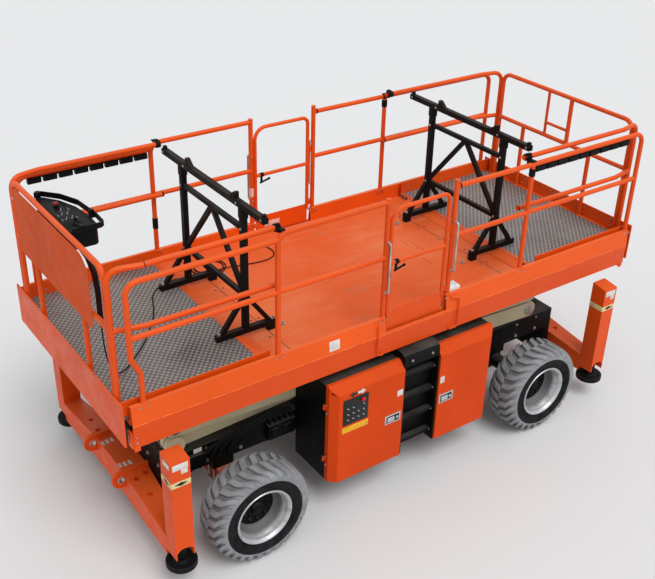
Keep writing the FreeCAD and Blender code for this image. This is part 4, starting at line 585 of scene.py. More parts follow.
for end, axle_x, spin in (("left", STEER_X, 0.12), ("right", DRIVE_X, 0.31)):
    for side, across in (("near", -TYRE_MIDDLE), ("far", TYRE_MIDDLE)):
        for name, source, slot, replaced, finishes in (
                ("lugged_tyre", tyre_data, "tyre_rubber", "tyre", (grey_tread, black_ring, gap_rubber_dirt_and_shade)),
                ("dished_rim", rim_data, "wheel_paint", "rim", (bright_lip, disc_grey)),
                ("bolted_hub", hub_data, "black_paint", None, (black_enamel,))):
            mesh = bmesh.new()
            mesh.from_mesh(source)
            bmesh.ops.rotate(mesh, cent=(0, 0, 0), matrix=Matrix.Rotation(spin, 3, "Y"), verts=mesh.verts)
            if side == "far":
                bmesh.ops.scale(mesh, vec=(1, -1, 1), verts=mesh.verts)
            bmesh.ops.translate(mesh, vec=(axle_x, across, WHEEL_RADIUS), verts=mesh.verts)
            made = piece(f"{name}_{end}_{side}", mesh, f"wheel_{end}_{side}", slot, *finishes, crease=28)
            if replaced:
                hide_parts(f"{replaced}_{end}_{side}")
for finished in (tyre_data, rim_data, hub_data):
    bpy.data.meshes.remove(finished)


# Outriggers and jacks
# Welded orange box beams across both ends, with tapered arms, lashing lugs and square
# posts; in each post a black leg slides down to its round foot.

orange_enamel = enamel("orange_enamel", (0.79, 0.080, 0.0035), dust=(0.74, 0.26, 0.09), dusty=0.2,
                       chipped=0.22)
dress(orange_enamel, "outrigger_left", "outrigger_right")
dress(black_enamel, *[f"jack_{end}_{side}" for end in ENDS for side in SIDES])
POST_X, POST_Y, POST_HALF = 2.183, 1.034, 0.076
POST_FACE, POST_OUT = POST_Y + POST_HALF, POST_X + POST_HALF
LUG_X, LUG_Y, LUG_Z = 2.290, 0.270, 0.480
OUTRIGGER_TOP, FOOT_Z, BAND_Z, BAND_THICK, PRINT_THICK = 0.520, 0.185, 0.992, 0.0008, 0.0004

hazard_yellow = shader("pale_yellow_band", (0.72, 0.60, 0.28), 0.45, cloud=(24, 6, 0.45, 0.8),
                       colours=((0.74, 0.62, 0.30), (0.50, 0.38, 0.17)))
band_black = shader("black_band_print", (0.02, 0.02, 0.02), 0.5, cloud=(40, 6, 0.5, 0.8),
                    colours=((0.018, 0.018, 0.018), (0.08, 0.06, 0.05)))


def print_flat(mesh, corners, out):
    """A thin flat print with given corners, raised along out."""
    face = mesh.faces.new([mesh.verts.new(corner) for corner in corners])
    grown = bmesh.ops.extrude_face_region(mesh, geom=[face])["geom"]
    bmesh.ops.translate(mesh, vec=out, verts=verts_of(grown))


def diamond(mesh, centre, across, out):
    """A flat black lozenge of the band's print, on a face that looks along out."""
    centre, across, tall = Vector(centre), Vector(across), Vector((0, 0, 0.017))
    corners = (centre + across, centre + tall, centre - across, centre - tall)
    print_flat(mesh, corners, Vector(out) * PRINT_THICK)


def label(mesh, low, high, face, soft=0.0004):
    """A thin plate on an upright face of the near side, between two (x, z) corners."""
    block(mesh, (low[0], -face - 0.0006, low[1]), (high[0], -face + 0.001, high[1]), soft)


for end, way in WAYS:
    post_x = way * POST_X
    out_x = way * POST_OUT
    mesh = bmesh.new()
    block(mesh, (post_x - POST_HALF - BAND_THICK, -POST_FACE - BAND_THICK, 0.968),
          (post_x + POST_HALF + BAND_THICK, -POST_Y + POST_HALF + BAND_THICK, 1.016), 0.0006)
    both_sides(mesh)
    piece(f"post_bands_{end}", mesh, "chassis", "orange_paint", hazard_yellow)
    mesh = bmesh.new()
    diamond(mesh, (post_x, -POST_FACE - BAND_THICK, BAND_Z), (0.052, 0, 0), OUTWARD)
    diamond(mesh, (out_x + way * BAND_THICK, -POST_Y, BAND_Z), (0, 0.052, 0), (way, 0, 0))
    both_sides(mesh)
    piece(f"post_band_print_{end}", mesh, "chassis", "orange_paint", band_black)
    mesh = bmesh.new()
    label(mesh, (post_x - 0.060, 1.116), (post_x + 0.060, 1.168), POST_FACE)
    label(mesh, (post_x + 0.006, 1.074), (post_x + 0.055, 1.113), POST_FACE)
    low, high = sorted((out_x, out_x + way * 0.0006))
    block(mesh, (low, -POST_Y - 0.055, 1.125), (high, -POST_Y + 0.04, 1.165), 0.0002)
    for x, y in ((2.245, -0.16), (2.205, -0.165), (2.165, -0.17)):
        block(mesh, (way * x - 0.012, y - 0.026, OUTRIGGER_TOP - 0.0005),
              (way * x + 0.012, y + 0.026, OUTRIGGER_TOP + 0.0006), 0.0004)
    both_sides(mesh)
    piece(f"post_blank_labels_{end}", mesh, "chassis", "orange_paint", sticker_white)

    mesh = bmesh.new()
    turned(mesh, [(0.0235, -0.0165), (0.031, -0.0165), (0.033, -0.0152), (0.033, 0.0152), (0.031, 0.0165),
                  (0.0235, 0.0165), (0.0235, -0.0165)], (way * LUG_X, -LUG_Y, LUG_Z), INWARD, 36)
    both_sides(mesh)
    piece(f"lug_bushes_{end}", mesh, "chassis", "galvanised_steel", zinc_bolt)

    mesh = bmesh.new()
    weld_y = -POST_Y + POST_HALF
    for y in (-LUG_Y - 0.016, -LUG_Y + 0.016):
        bar(mesh, (way * 2.065, y, OUTRIGGER_TOP), (way * 2.255, y, OUTRIGGER_TOP), 0.006, sides=10,
            round_off=0.002)
    for z in (0.300, 0.425):
        bar(mesh, (way * (POST_X - POST_HALF), weld_y, z), (way * 2.255, weld_y, z), 0.006, sides=10,
            round_off=0.002)
    block(mesh, (post_x - POST_HALF - 0.003, -POST_FACE - 0.003, 0.390),
          (post_x + POST_HALF + 0.003, -POST_FACE + 0.02, 0.398), 0.002)
    both_sides(mesh)
    piece(f"outrigger_welds_{end}", mesh, "chassis", "orange_paint", orange_enamel)

    for side, sign in (("near", -1), ("far", 1)):
        mesh = bmesh.new()
        turned(mesh, [(0.0, -0.0005), (0.104, -0.0005), (0.116, 0.006), (0.1195, 0.016), (0.1195, 0.034),
                      (0.112, 0.0425), (0.100, 0.0415), (0.090, 0.0405), (0.066, 0.0410), (0.060, 0.052),
                      (0.0465, 0.060), (0.0455, 0.060), (0.0455, 0.020), (0.0, 0.020)],
               (post_x, sign * POST_Y, FOOT_Z), UP, 56)
        for shift in (0.05, -0.05):
            bolt(mesh, (post_x + shift, sign * (POST_Y + 0.062), 0.226), UP, 0.008)
        piece(f"jack_foot_{end}_{side}", mesh, f"jack_{end}_{side}", "dark_steel", hose_rubber)


# Side trays and hoods
# Black sheet trays hang from the frame rails with the tank, batteries and engine in them;
# folded orange doors with paddle latches swing out at their outer edges.

dress(black_enamel, "tray_near", "tray_far", "engine")
hood_orange = enamel("hood_orange_enamel", (0.67, 0.058, 0.0025), dust=(0.70, 0.22, 0.07), dusty=0.08,
                     chipped=0.10, roughness=0.36, gloss=DULL)
dress(hood_orange, *[f"hood_{end}_{side}" for end in ENDS for side in SIDES])
chrome_latch = shader("latch_chrome", (0.62, 0.64, 0.66), 0.2, 0.95, polish=(80, 5, 0.3, 0.7, 0.12, 0.4))
black_moulding = shader("black_moulding", (0.017, 0.017, 0.018), 0.5, grain=(500, 2, 0.25, 0.0006))
signal_yellow = shader("blank_yellow_label", (0.80, 0.40, 0.012), 0.4, cloud=(35, 6, 0.45, 0.8),
                       colours=((0.82, 0.42, 0.014), (0.52, 0.24, 0.02)))
stop_red = shader("stop_button_red", (0.55, 0.012, 0.010), 0.35, grain=(300, 2, 0.1, 0.0004))
HOOD_FACE, HINGE_Y = 1.083, -1.005
# Each end's latch and blank label, as (x, z) corners, and its hinges' place and way.
HOOD_PARTS = {"left": ((-0.366, 0.706), (-0.208, 0.792), (-0.252, 0.945), (-0.197, 1.000), -0.880, LEFT),
              "right": ((0.200, 0.692), (0.352, 0.780), (0.200, 0.895), (0.245, 0.958), 0.797, RIGHT)}


def paddle_latch(frame, dark, low, high, face):
    """A stamped frame with a sunk dish and a lever across it, on a near door."""
    middle, pivot = (low[1] + high[1]) / 2, high[0] - 0.036
    block(frame, (low[0], face - 0.004, low[1]), (high[0], face + 0.002, high[1]), 0.002)
    block(dark, (low[0] + 0.014, face - 0.0046, low[1] + 0.012),
          (high[0] - 0.014, face - 0.001, high[1] - 0.012), 0.0004)
    block(frame, (low[0] + 0.022, face - 0.010, middle - 0.022),
          (low[0] + 0.092, face - 0.0044, middle + 0.022), 0.0025)
    bar(frame, (pivot, face - 0.009, middle), (pivot, face - 0.0042, middle), 0.014, round_off=0.002)


for end in ENDS:
    latch_low, latch_high, label_low, label_high, hinge_x, hinge_way = HOOD_PARTS[end]
    for side in SIDES:
        frame_mesh, dark_mesh, label_mesh, bolt_mesh = (bmesh.new() for k in range(4))
        paddle_latch(frame_mesh, dark_mesh, latch_low, latch_high, -HOOD_FACE)
        label(label_mesh, label_low, label_high, HOOD_FACE)
        for height in (0.485, 0.565, 0.985, 1.065):
            bolt(bolt_mesh, (hinge_x, HINGE_Y, height), hinge_way, 0.007)
        for made, name, slot, material in ((frame_mesh, "latch", "bright_steel", chrome_latch),
                                           (dark_mesh, "latch_dish", "black_plastic", black_moulding),
                                           (label_mesh, "hood_label", "orange_paint", sticker_white),
                                           (bolt_mesh, "hood_bolts", "bright_steel", zinc_bolt)):
            if side == "far":
                bmesh.ops.scale(made, vec=(1, -1, 1), verts=made.verts)
            piece(f"{name}_{end}_{side}", made, f"hood_{end}_{side}", slot, material)

PANEL_LEFT, PANEL_RIGHT, PANEL_BOTTOM, PANEL_TOP, PANEL_RIM = -0.785, -0.545, 0.872, 1.112, 0.014
SWITCHES = [(column, row) for row in range(3) for column in range(4) if (column, row) != (2, 2)]
SWITCH_ACROSS, SWITCH_UP = 0.050, 0.052
mesh = bmesh.new()
block(mesh, (PANEL_LEFT, -HOOD_FACE - 0.007, PANEL_BOTTOM),
      (PANEL_RIGHT, -HOOD_FACE + 0.002, PANEL_TOP), 0.005, steps=3)
block(mesh, (PANEL_LEFT + PANEL_RIM, -HOOD_FACE - 0.0085, PANEL_BOTTOM + PANEL_RIM),
      (PANEL_RIGHT - PANEL_RIM, -HOOD_FACE - 0.006, PANEL_TOP - PANEL_RIM), 0.001)
piece("ground_panel", mesh, "hood_left_near", "black_plastic", black_moulding)
mesh = bmesh.new()
for column, row in SWITCHES:
    x, z = PANEL_LEFT + 0.040 + SWITCH_ACROSS * column, PANEL_BOTTOM + 0.052 + SWITCH_UP * row
    bar(mesh, (x, -HOOD_FACE - 0.0085, z), (x, -HOOD_FACE - 0.0105, z), 0.0062, sides=6, round_off=0.0005)
    bar(mesh, (x, -HOOD_FACE - 0.0105, z), (x, -HOOD_FACE - 0.022, z + 0.004), 0.0022, 0.0030, sides=10)
piece("ground_switches", mesh, "hood_left_near", "bright_steel", chrome_latch)
mesh = bmesh.new()
turned(mesh, [(0.0, 0.030), (0.010, 0.0295), (0.0175, 0.026), (0.0195, 0.021), (0.0175, 0.016),
              (0.009, 0.014), (0.009, 0.008), (0.0, 0.008)],
       (PANEL_RIGHT - 0.062, -HOOD_FACE, PANEL_TOP - 0.036), OUTWARD, 32)
piece("ground_stop_button", mesh, "hood_left_near", "black_plastic", stop_red)
mesh = bmesh.new()
label(mesh, (-0.788, 0.796), (-0.538, 0.852), HOOD_FACE)
piece("ground_yellow_label", mesh, "hood_left_near", "orange_paint", signal_yellow)
ARROW = [(0, 0.011), (0.040, 0.011), (0.040, 0.027), (0.078, 0), (0.040, -0.027), (0.040, -0.011),
         (0, -0.011)]
for name, way, material in (("travel_arrow_black", -1, band_black), ("travel_arrow_white", 1, sticker_white)):
    mesh = bmesh.new()
    print_flat(mesh, [(-0.650 + way * x, -HOOD_FACE, 1.141 + z) for x, z in ARROW], (0, -0.0005, 0))
    piece(name, mesh, "hood_left_near", "orange_paint", material)


# Steps
# A black folded fairing between the doors with four square rungs, each with two rows of
# raised grips on its tread, screwed to the tray.

dress(black_enamel, "ladder_near", "ladder_far")
RUNGS, GRIPS, GRIP_PITCH = (0.420, 0.635, 0.850, 1.065), 13, 0.026
mesh = bmesh.new()
for height in RUNGS:
    for k in range(GRIPS):
        x = -0.156 + GRIP_PITCH * k
        for y in (-1.024, -0.998):
            bar(mesh, (x, y, height + 0.0138), (x, y, height + 0.0175), 0.0052, 0.0035, sides=10)
both_sides(mesh)
piece("step_grips", mesh, "chassis", "black_paint", black_enamel)
mesh = bmesh.new()
for x in (-0.103, 0.103):
    bolt(mesh, (x, -1.065, 1.225), OUTWARD)
for height in RUNGS:
    for x in (-0.1602, 0.1602):
        bolt(mesh, (x, -1.038, height), OUTWARD, 0.006)
both_sides(mesh)
piece("step_bolts", mesh, "chassis", "bright_steel", zinc_bolt)
mesh = bmesh.new()
block(mesh, (-0.166, -0.985, 0.345), (0.166, -0.979, 1.17), 0.001)
both_sides(mesh)
piece("step_back_sheet", mesh, "chassis", "black_paint", black_enamel)


# Scissor arms and lift cylinder
# Three levels of cream arms folded flat, joined by cross tubes and pins with bolted end
# caps, and pushed open by one black cylinder with a chromed rod.

cream_enamel = enamel("cream_enamel", (0.60, 0.53, 0.335), dust=(0.42, 0.38, 0.30), dusty=0.35, chipped=0.2)
dress(cream_enamel, *[f"arm_{kind}_{k}" for kind in ("outer", "inner") for k in (1, 2, 3)])
dress(black_enamel, "lift_barrel")
chrome_rod = shader("hard_chrome_rod", (0.66, 0.67, 0.69), 0.12, 1.0, grain=(600, 2, 0.05, 0.0003, (8, 1, 1)))
dress(chrome_rod, "lift_rod")
ARM_PITCH, ARM_SLOPE, RIGHT_PIN, LOW_PIN, OUTER_FACE = 3.700, math.radians(2.6), 1.750, 0.840, 0.560
ARM_RISE = ARM_PITCH * math.sin(ARM_SLOPE)
LEFT_PIN = RIGHT_PIN - ARM_PITCH * math.cos(ARM_SLOPE)
for level in range(3):
    low_z, high_z = LOW_PIN + level * ARM_RISE, LOW_PIN + (level + 1) * ARM_RISE
    mesh = bmesh.new()
    for x, z in ((RIGHT_PIN, low_z), (LEFT_PIN, high_z), ((RIGHT_PIN + LEFT_PIN) / 2, (low_z + high_z) / 2)):
        turned(mesh, [(0.0, 0.0072), (0.030, 0.0072), (0.034, 0.006), (0.058, 0.006), (0.060, 0.004),
                      (0.060, -0.001), (0.0, -0.001)], (x, -OUTER_FACE, z), OUTWARD, 36)
        for shift in (-0.045, 0.045):
            bolt(mesh, (x + shift, -OUTER_FACE - 0.0055, z), OUTWARD, 0.0022)
    both_sides(mesh)
    piece(f"arm_outer_pin_caps_{level + 1}", mesh, f"arm_outer_{level + 1}", "cream_paint", zinc_bolt)
    mesh = bmesh.new()
    along = Vector((RIGHT_PIN - LEFT_PIN, 0, high_z - low_z)).normalized()
    for share in (0.07, 0.93):
        spot = Vector((LEFT_PIN, 0, low_z)) + along * ARM_PITCH * share
        block(mesh, (-0.056, -0.4455, -0.046), (0.056, -0.4400, 0.046), 0.002, Matrix.Translation(spot))
    both_sides(mesh)
    piece(f"arm_inner_pin_caps_{level + 1}", mesh, f"arm_inner_{level + 1}", "cream_paint", cream_enamel)


# Platform underframe and side beams
# Pressed orange channels with a lengthwise crease run down both sides of the platform over
# a black welded underframe; brackets close their ends and their tops carry the rail posts.

BEAM_TOP, BEAM_CREASE, BEAM_BOTTOM, BEAM_END, BRACKET_TOP = 1.656, 1.505, 1.320, 2.445, 1.452
CREASE_OUT, EDGE_OUT, BEAM_IN, BRACKET_X, BRACKET_OUT = 0.988, 0.976, 0.943, 2.42, 0.974
LEAN = (CREASE_OUT - EDGE_OUT) / (BEAM_TOP - BEAM_CREASE)
upper_face = Matrix(((1, 0, 0, 0), (0, 1, LEAN, -CREASE_OUT - LEAN * BEAM_CREASE), (0, 0, 1, 0),
                     (0, 0, 0, 1)))
RAIL_Y, RAIL_RADIUS = 0.955, 0.020
MAIN_POSTS = (-2.345, -1.29, -0.35, 0.30, 1.10, 2.42)
beam_orange = enamel("beam_orange_enamel", (0.86, 0.100, 0.006), dust=(0.76, 0.28, 0.10), dusty=0.2,
                     chipped=0.25)
tree = beam_orange.node_tree
socket = tree.nodes["Principled BSDF"].inputs["Base Color"]
place, axes = own_place(tree)
# Painted shade: below the crease the lower face is coloured darker, as if it faced away from the light; the base
# colour is the lit upper face.
painted_shade_below_crease = ramp(tree, axes["Z"], BEAM_CREASE - 0.004, BEAM_CREASE, 0.75, 0.0)
feed(beam_orange, tint(tree, painted_shade_below_crease, socket.links[0].from_socket, (0.66, 0.058, 0.0025)))
dress(beam_orange, "side_beam_near", "side_beam_far")
# Painted highlight, partly real wear: a pale orange strip along the crease where the bend catches the light.
crease_highlight_and_wear = shader("orange_crease_highlight_and_wear", (0.90, 0.22, 0.06), 0.45, cloud=(18, 6, 0.4, 0.65),
                   colours=((0.90, 0.25, 0.08), (0.78, 0.085, 0.004)))
mesh = bmesh.new()
block(mesh, (-BEAM_END, -CREASE_OUT - 0.0006, BEAM_CREASE - 0.0022),
      (BEAM_END, -CREASE_OUT + 0.001, BEAM_CREASE + 0.0022), 0.0006)
both_sides(mesh)
piece("beam_crease_edges", mesh, "platform", "orange_paint", crease_highlight_and_wear)

mesh = bmesh.new()
block(mesh, (-0.858, -0.0009, 1.531), (-0.764, 0.0003, 1.615), 0.0002, upper_face)
piece("beam_blank_label", mesh, "platform", "galvanised_steel", sticker_white)

mesh = bmesh.new()
for x in (-BRACKET_X, BRACKET_X):
    block(mesh, (x - 0.020, -BRACKET_OUT, BEAM_BOTTOM - 0.022), (x + 0.020, -0.930, BRACKET_TOP), 0.003)
    block(mesh, (x - 0.022, -0.9790, BEAM_BOTTOM - 0.030), (x + 0.022, -0.972, BEAM_BOTTOM + 0.012), 0.002)
both_sides(mesh)
piece("beam_end_brackets", mesh, "platform", "orange_paint", orange_enamel)
mesh = bmesh.new()
for low_x in (-BEAM_END - 0.012, BEAM_END):
    block(mesh, (low_x, -BRACKET_OUT, BEAM_BOTTOM + 0.002), (low_x + 0.012, -0.915, BRACKET_TOP), 0.002)
both_sides(mesh)
piece("beam_end_closers", mesh, "platform", "orange_paint", orange_enamel)

mesh = bmesh.new()
for x in (-BRACKET_X, BRACKET_X):
    for z in (1.362, 1.408):
        bolt(mesh, (x, -0.9785, z), OUTWARD, 0.007)
for x in MAIN_POSTS:
    for shift in (-0.029, 0.029):
        bolt(mesh, (x + shift, -BEAM_IN + 0.0035, 1.632), INWARD, 0.0075)
        bolt(mesh, (x + shift, -EDGE_OUT - 0.0018, 1.634), OUTWARD, 0.0065)
both_sides(mesh)
piece("beam_bolts", mesh, "platform", "galvanised_steel", zinc_bolt)

mesh = bmesh.new()
for x in MAIN_POSTS:
    block(mesh, (x - 0.045, -BEAM_IN - 0.001, 1.606),
          (x + 0.045, -BEAM_IN + 0.0035, BEAM_TOP - 0.003), 0.0015)
    turned(mesh, [(0.019, -0.002), (0.0265, -0.002), (0.0235, 0.0035), (0.0205, 0.007), (0.019, 0.007)],
           (x, -RAIL_Y, BEAM_TOP), UP, 28)
both_sides(mesh)
piece("post_foot_plates", mesh, "platform", "orange_paint", orange_enamel)


# Main floor
# One orange sheet steel deck between the beams, walked pale and scratched, with a
# countersunk joint across it near each end.

FLOOR_TOP, FLOOR_HALF, JOINT_X, NUT_X, NUT_Y = 1.525, 0.940, 1.075, 0.924, 0.455
floor_orange = shader("walked_floor_orange", (0.80, 0.13, 0.03), 0.55, gloss=0.2,
                      polish=(6, 7, 0.3, 0.7, 0.42, 0.7), grain=(3.2, 3, 0.25, 0.006))
tree = floor_orange.node_tree
walked = tint(tree, cloudy(tree, 0.9, 5, 0.35, 0.7), (0.72, 0.100, 0.016), (0.81, 0.170, 0.052))
for scale, detail, low, high, stretch, share, colour in (
        (5, 9, 0.5, 0.8, (0.35, 1.4, 1), 0.5, (0.74, 0.27, 0.13)),
        (28, 8, 0.62, 0.72, (0.12, 1.2, 1), 0.5, (0.42, 0.16, 0.08)),
        (90, 3, 0.70, 0.74, (0.06, 1.0, 1), 0.55, (0.30, 0.20, 0.15))):
    marks = product(tree, cloudy(tree, scale, detail, low, high, stretch=stretch), share)
    walked = tint(tree, marks, walked, colour)
feed(floor_orange, walked)
dress(floor_orange, "main_floor")

mesh = bmesh.new()
for x in (-JOINT_X, JOINT_X):
    block(mesh, (x - 0.003, -FLOOR_HALF, FLOOR_TOP), (x + 0.003, FLOOR_HALF, FLOOR_TOP + 0.0006))
    for k in range(7):
        y = -0.84 + 0.28 * k
        for shift in (-0.035, 0.035):
            bar(mesh, (x + shift, y, FLOOR_TOP), (x + shift, y, FLOOR_TOP + 0.0008), 0.009, sides=20)
for x, y, long in ((0.74, 0.02, 0.16), (0.80, -0.12, 0.22), (0.69, -0.33, 0.12), (-0.86, 0.30, 0.14)):
    block(mesh, (x - 0.0015, y, FLOOR_TOP), (x + 0.0015, y + long, FLOOR_TOP + 0.0004))
piece("floor_joints", mesh, "platform", "dark_steel", black_enamel)

mesh = bmesh.new()
for x in (-NUT_X, NUT_X):
    for y in (-NUT_Y, NUT_Y):
        bar(mesh, (x, y, FLOOR_TOP), (x, y, FLOOR_TOP + 0.010), 0.022, sides=6, round_off=0.002)
        bar(mesh, (x, y, FLOOR_TOP + 0.010), (x, y, FLOOR_TOP + 0.028), 0.009, sides=16, round_off=0.002)
piece("rack_anchor_nuts", mesh, "platform", "galvanised_steel", zinc_bolt)


# Extension decks
# Galvanised perforated plates that slide over the main floor at both ends, edged with an
# orange lip towards the middle, toe boards at the sides and an upright plate at the end.

DECK_IN, DECK_TOP, DECK_HALF = 1.330, 1.560, 0.915
END_PLATE, END_PLATE_TOP, PLATE_IN = 2.504, 1.684, 2.492
DASH_PITCH, ROW_PITCH = 0.046, 0.052
WORN_PLACE = (-1.72, -0.48, 1.56)
mesh_zinc = shader("perforated_zinc", (0.34, 0.335, 0.33), 0.55, 0.35, gloss=0.3)
tree = mesh_zinc.node_tree
place, axes = own_place(tree)
dashes, across_rows = (reckon(tree, "SINE", product(tree, axes[axis], math.tau / pitch))
                       for axis, pitch in (("X", DASH_PITCH), ("Y", ROW_PITCH)))
rows = product(tree, ramp(tree, dashes, -0.35, 0.35, -1.0, 1.0), across_rows)
worn_spot = tree.nodes.new("ShaderNodeVectorMath")
worn_spot.operation = "DISTANCE"
tree.links.new(place, worn_spot.inputs[0])
worn_spot.inputs[1].default_value = WORN_PLACE
worn = product(tree, ramp(tree, worn_spot.outputs["Value"], 0.10, 0.30, 1.0, 0.0),
               cloudy(tree, 5, 6, 0.3, 0.6))
plate_shade = tint(tree, cloudy(tree, 2.3, 7, 0.35, 0.7), (0.165, 0.135, 0.120), (0.235, 0.220, 0.212))
for share, colour in ((product(tree, cloudy(tree, 13, 8, 0.5, 0.75), 0.5), (0.145, 0.110, 0.095)),
                      (product(tree, worn, 0.7), (0.075, 0.060, 0.060)),
                      (ramp(tree, rows, -0.85, -0.62, 0.55, 0.0), (0.60, 0.58, 0.55)),
                      (ramp(tree, rows, 0.45, 0.75, 0.0, 0.35), (0.060, 0.048, 0.042))):
    plate_shade = tint(tree, share, plate_shade, colour)
feed(mesh_zinc, plate_shade)
bumped(mesh_zinc, ramp(tree, rows, -0.8, 0.6, 1.0, 0.0), 0.35, 0.003)
dress(mesh_zinc, "extension_floor_left", "extension_floor_right")
dress(orange_enamel, "end_plate_left", "end_plate_right")

for end, way in WAYS:
    mesh = bmesh.new()
    block(mesh, (DECK_IN - 0.095, -0.78, FLOOR_TOP + 0.002), (DECK_IN + 0.002, 0.78, DECK_TOP - 0.001))
    for vert in mesh.verts:
        if vert.co.x < DECK_IN and vert.co.z > FLOOR_TOP + 0.02:
            vert.co.z = FLOOR_TOP + 0.004
    block(mesh, (DECK_IN, -DECK_HALF + 0.003, DECK_TOP),
          (DECK_IN + 0.034, DECK_HALF - 0.003, DECK_TOP + 0.002), 0.0008)
    block(mesh, (END_PLATE - 0.046, -0.90, DECK_TOP), (PLATE_IN, 0.90, DECK_TOP + 0.003), 0.001)
    bmesh.ops.scale(mesh, vec=(way, 1, 1), verts=mesh.verts)
    piece(f"deck_lip_{end}", mesh, f"extension_{end}", "orange_paint", orange_enamel)
    mesh = bmesh.new()
    for y in (-0.76, -0.38, 0.0, 0.38, 0.76):
        for shift in (-0.030, 0.030):
            for drop in (0.030, 0.085):
                bolt(mesh, (PLATE_IN, y + shift, END_PLATE_TOP - drop), LEFT, 0.0075)
    for x in (1.42, 1.85, 2.30):
        for side in (-1, 1):
            bolt(mesh, (x, side * 0.907, 1.600), (0, -side, 0), 0.0065)
    bmesh.ops.scale(mesh, vec=(way, 1, 1), verts=mesh.verts)
    piece(f"end_plate_bolts_{end}", mesh, f"extension_{end}", "galvanised_steel", zinc_bolt)


# Guard rails
# Round steel tube, bent and welded, sprayed orange: fixed rails stand on the beams and the
# extension rails run beside them through black plastic clamps.

DECK_RAIL_Y, DECK_RAIL_TOP, DECK_RAIL_MID = 0.885, 2.625, 2.185
dress(orange_enamel, "side_rails_near", "side_rails_far")
black_plastic = shader("clamp_black_plastic", (0.005, 0.005, 0.0055), 0.5, gloss=DULL,
                       grain=(300, 3, 0.15, 0.0006))


def rail(mesh, points, radius=RAIL_RADIUS, bend=0.090, sides=20):
    """A round tube along straight runs joined by bends, closed at both ends."""
    points = [Vector(point) for point in points]
    here, way = points[0], (points[1] - points[0]).normalized()
    place = Matrix.Translation(here) @ way.to_track_quat("Z", "Y").to_matrix().to_4x4()
    ring = bmesh.ops.create_circle(mesh, cap_ends=True, radius=radius, segments=sides, matrix=place)["verts"]
    rim = list({edge for vert in ring for edge in vert.link_edges})
    for k, corner in enumerate(points[1:]):
        way, reach = (corner - here).normalized(), corner
        last = k == len(points) - 2
        if not last:
            onward = (points[k + 2] - corner).normalized()
            angle = way.angle(onward)
            reach = corner - way * bend * math.tan(angle / 2)
        grown = bmesh.ops.extrude_edge_only(mesh, edges=rim)["geom"]
        ring = verts_of(grown)
        rim = [part for part in grown
               if isinstance(part, bmesh.types.BMEdge) and all(vert in ring for vert in part.verts)]
        bmesh.ops.translate(mesh, vec=reach - here, verts=ring)
        here = reach
        if last:
            bmesh.ops.contextual_create(mesh, geom=rim)
            continue
        centre = here + (onward - way * onward.dot(way)).normalized() * bend
        spun = bmesh.ops.spin(mesh, geom=ring + rim, cent=centre, axis=way.cross(onward).normalized(),
                              angle=angle, steps=max(2, round(math.degrees(angle) / 11)),
                              use_merge=False)["geom_last"]
        ring = verts_of(spun)
        rim = [part for part in spun if isinstance(part, bmesh.types.BMEdge)]
        here = corner + onward * bend * math.tan(angle / 2)


HOOP_X, HOOP_Y, LEG_Y, JOG_X, RUNG, RUNG_Y, STAY_Y = 2.4715, 0.800, 0.838, 2.250, 0.014, 0.190, -0.090
END_POSTS = {"left": (-0.390, 0.468), "right": (-0.376, 0.466)}
RAIL_INNER = {"left": 1.232, "right": 1.055}
for end, way in WAYS:
    inner = RAIL_INNER[end]
    mesh = bmesh.new()
    for y, leg_y in ((-DECK_RAIL_Y, -LEG_Y), (DECK_RAIL_Y, LEG_Y)):
        rail(mesh, [(inner, y, DECK_RAIL_TOP), (JOG_X, y, DECK_RAIL_TOP), (HOOP_X, leg_y, DECK_RAIL_TOP),
                    (HOOP_X, leg_y, DECK_TOP)])
        rail(mesh, [(inner, y, DECK_RAIL_MID), (JOG_X, y, DECK_RAIL_MID), (HOOP_X, leg_y, DECK_RAIL_MID)])
    rail(mesh, [(HOOP_X, -HOOP_Y, DECK_TOP), (HOOP_X, -HOOP_Y, DECK_RAIL_TOP),
                (HOOP_X, HOOP_Y, DECK_RAIL_TOP), (HOOP_X, HOOP_Y, DECK_TOP)])
    rail(mesh, [(HOOP_X, -HOOP_Y, DECK_RAIL_MID), (HOOP_X, HOOP_Y, DECK_RAIL_MID)])
    for y in END_POSTS[end]:
        rail(mesh, [(HOOP_X, y, DECK_TOP), (HOOP_X, y, DECK_RAIL_MID)])
    if end == "right":
        rail(mesh, [(HOOP_X, STAY_Y, DECK_RAIL_MID), (HOOP_X, STAY_Y, DECK_RAIL_TOP)])
        rail(mesh, [(HOOP_X, RUNG_Y, DECK_RAIL_MID), (HOOP_X, RUNG_Y, DECK_RAIL_TOP)], RUNG)
        rail(mesh, [(HOOP_X, y, DECK_RAIL_MID + 0.125) for y in (STAY_Y, RUNG_Y)], RUNG)
    bmesh.ops.scale(mesh, vec=(way, 1, 1), verts=mesh.verts)
    hoops = piece(f"deck_rail_hoops_{end}", mesh, f"extension_{end}", "orange_paint", orange_enamel)
    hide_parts(f"extension_rails_{end}")


def sleeve(mesh, start, way, length, thick=0.006, bore=0.0203):
    """A short sleeve round a rail, its rims softened."""
    outer, soft = bore + thick, 0.0015
    turned(mesh, [(bore, 0), (outer - soft, 0), (outer, soft), (outer, length - soft), (outer - soft, length),
                  (bore, length), (bore, 0)], start, way, 32)


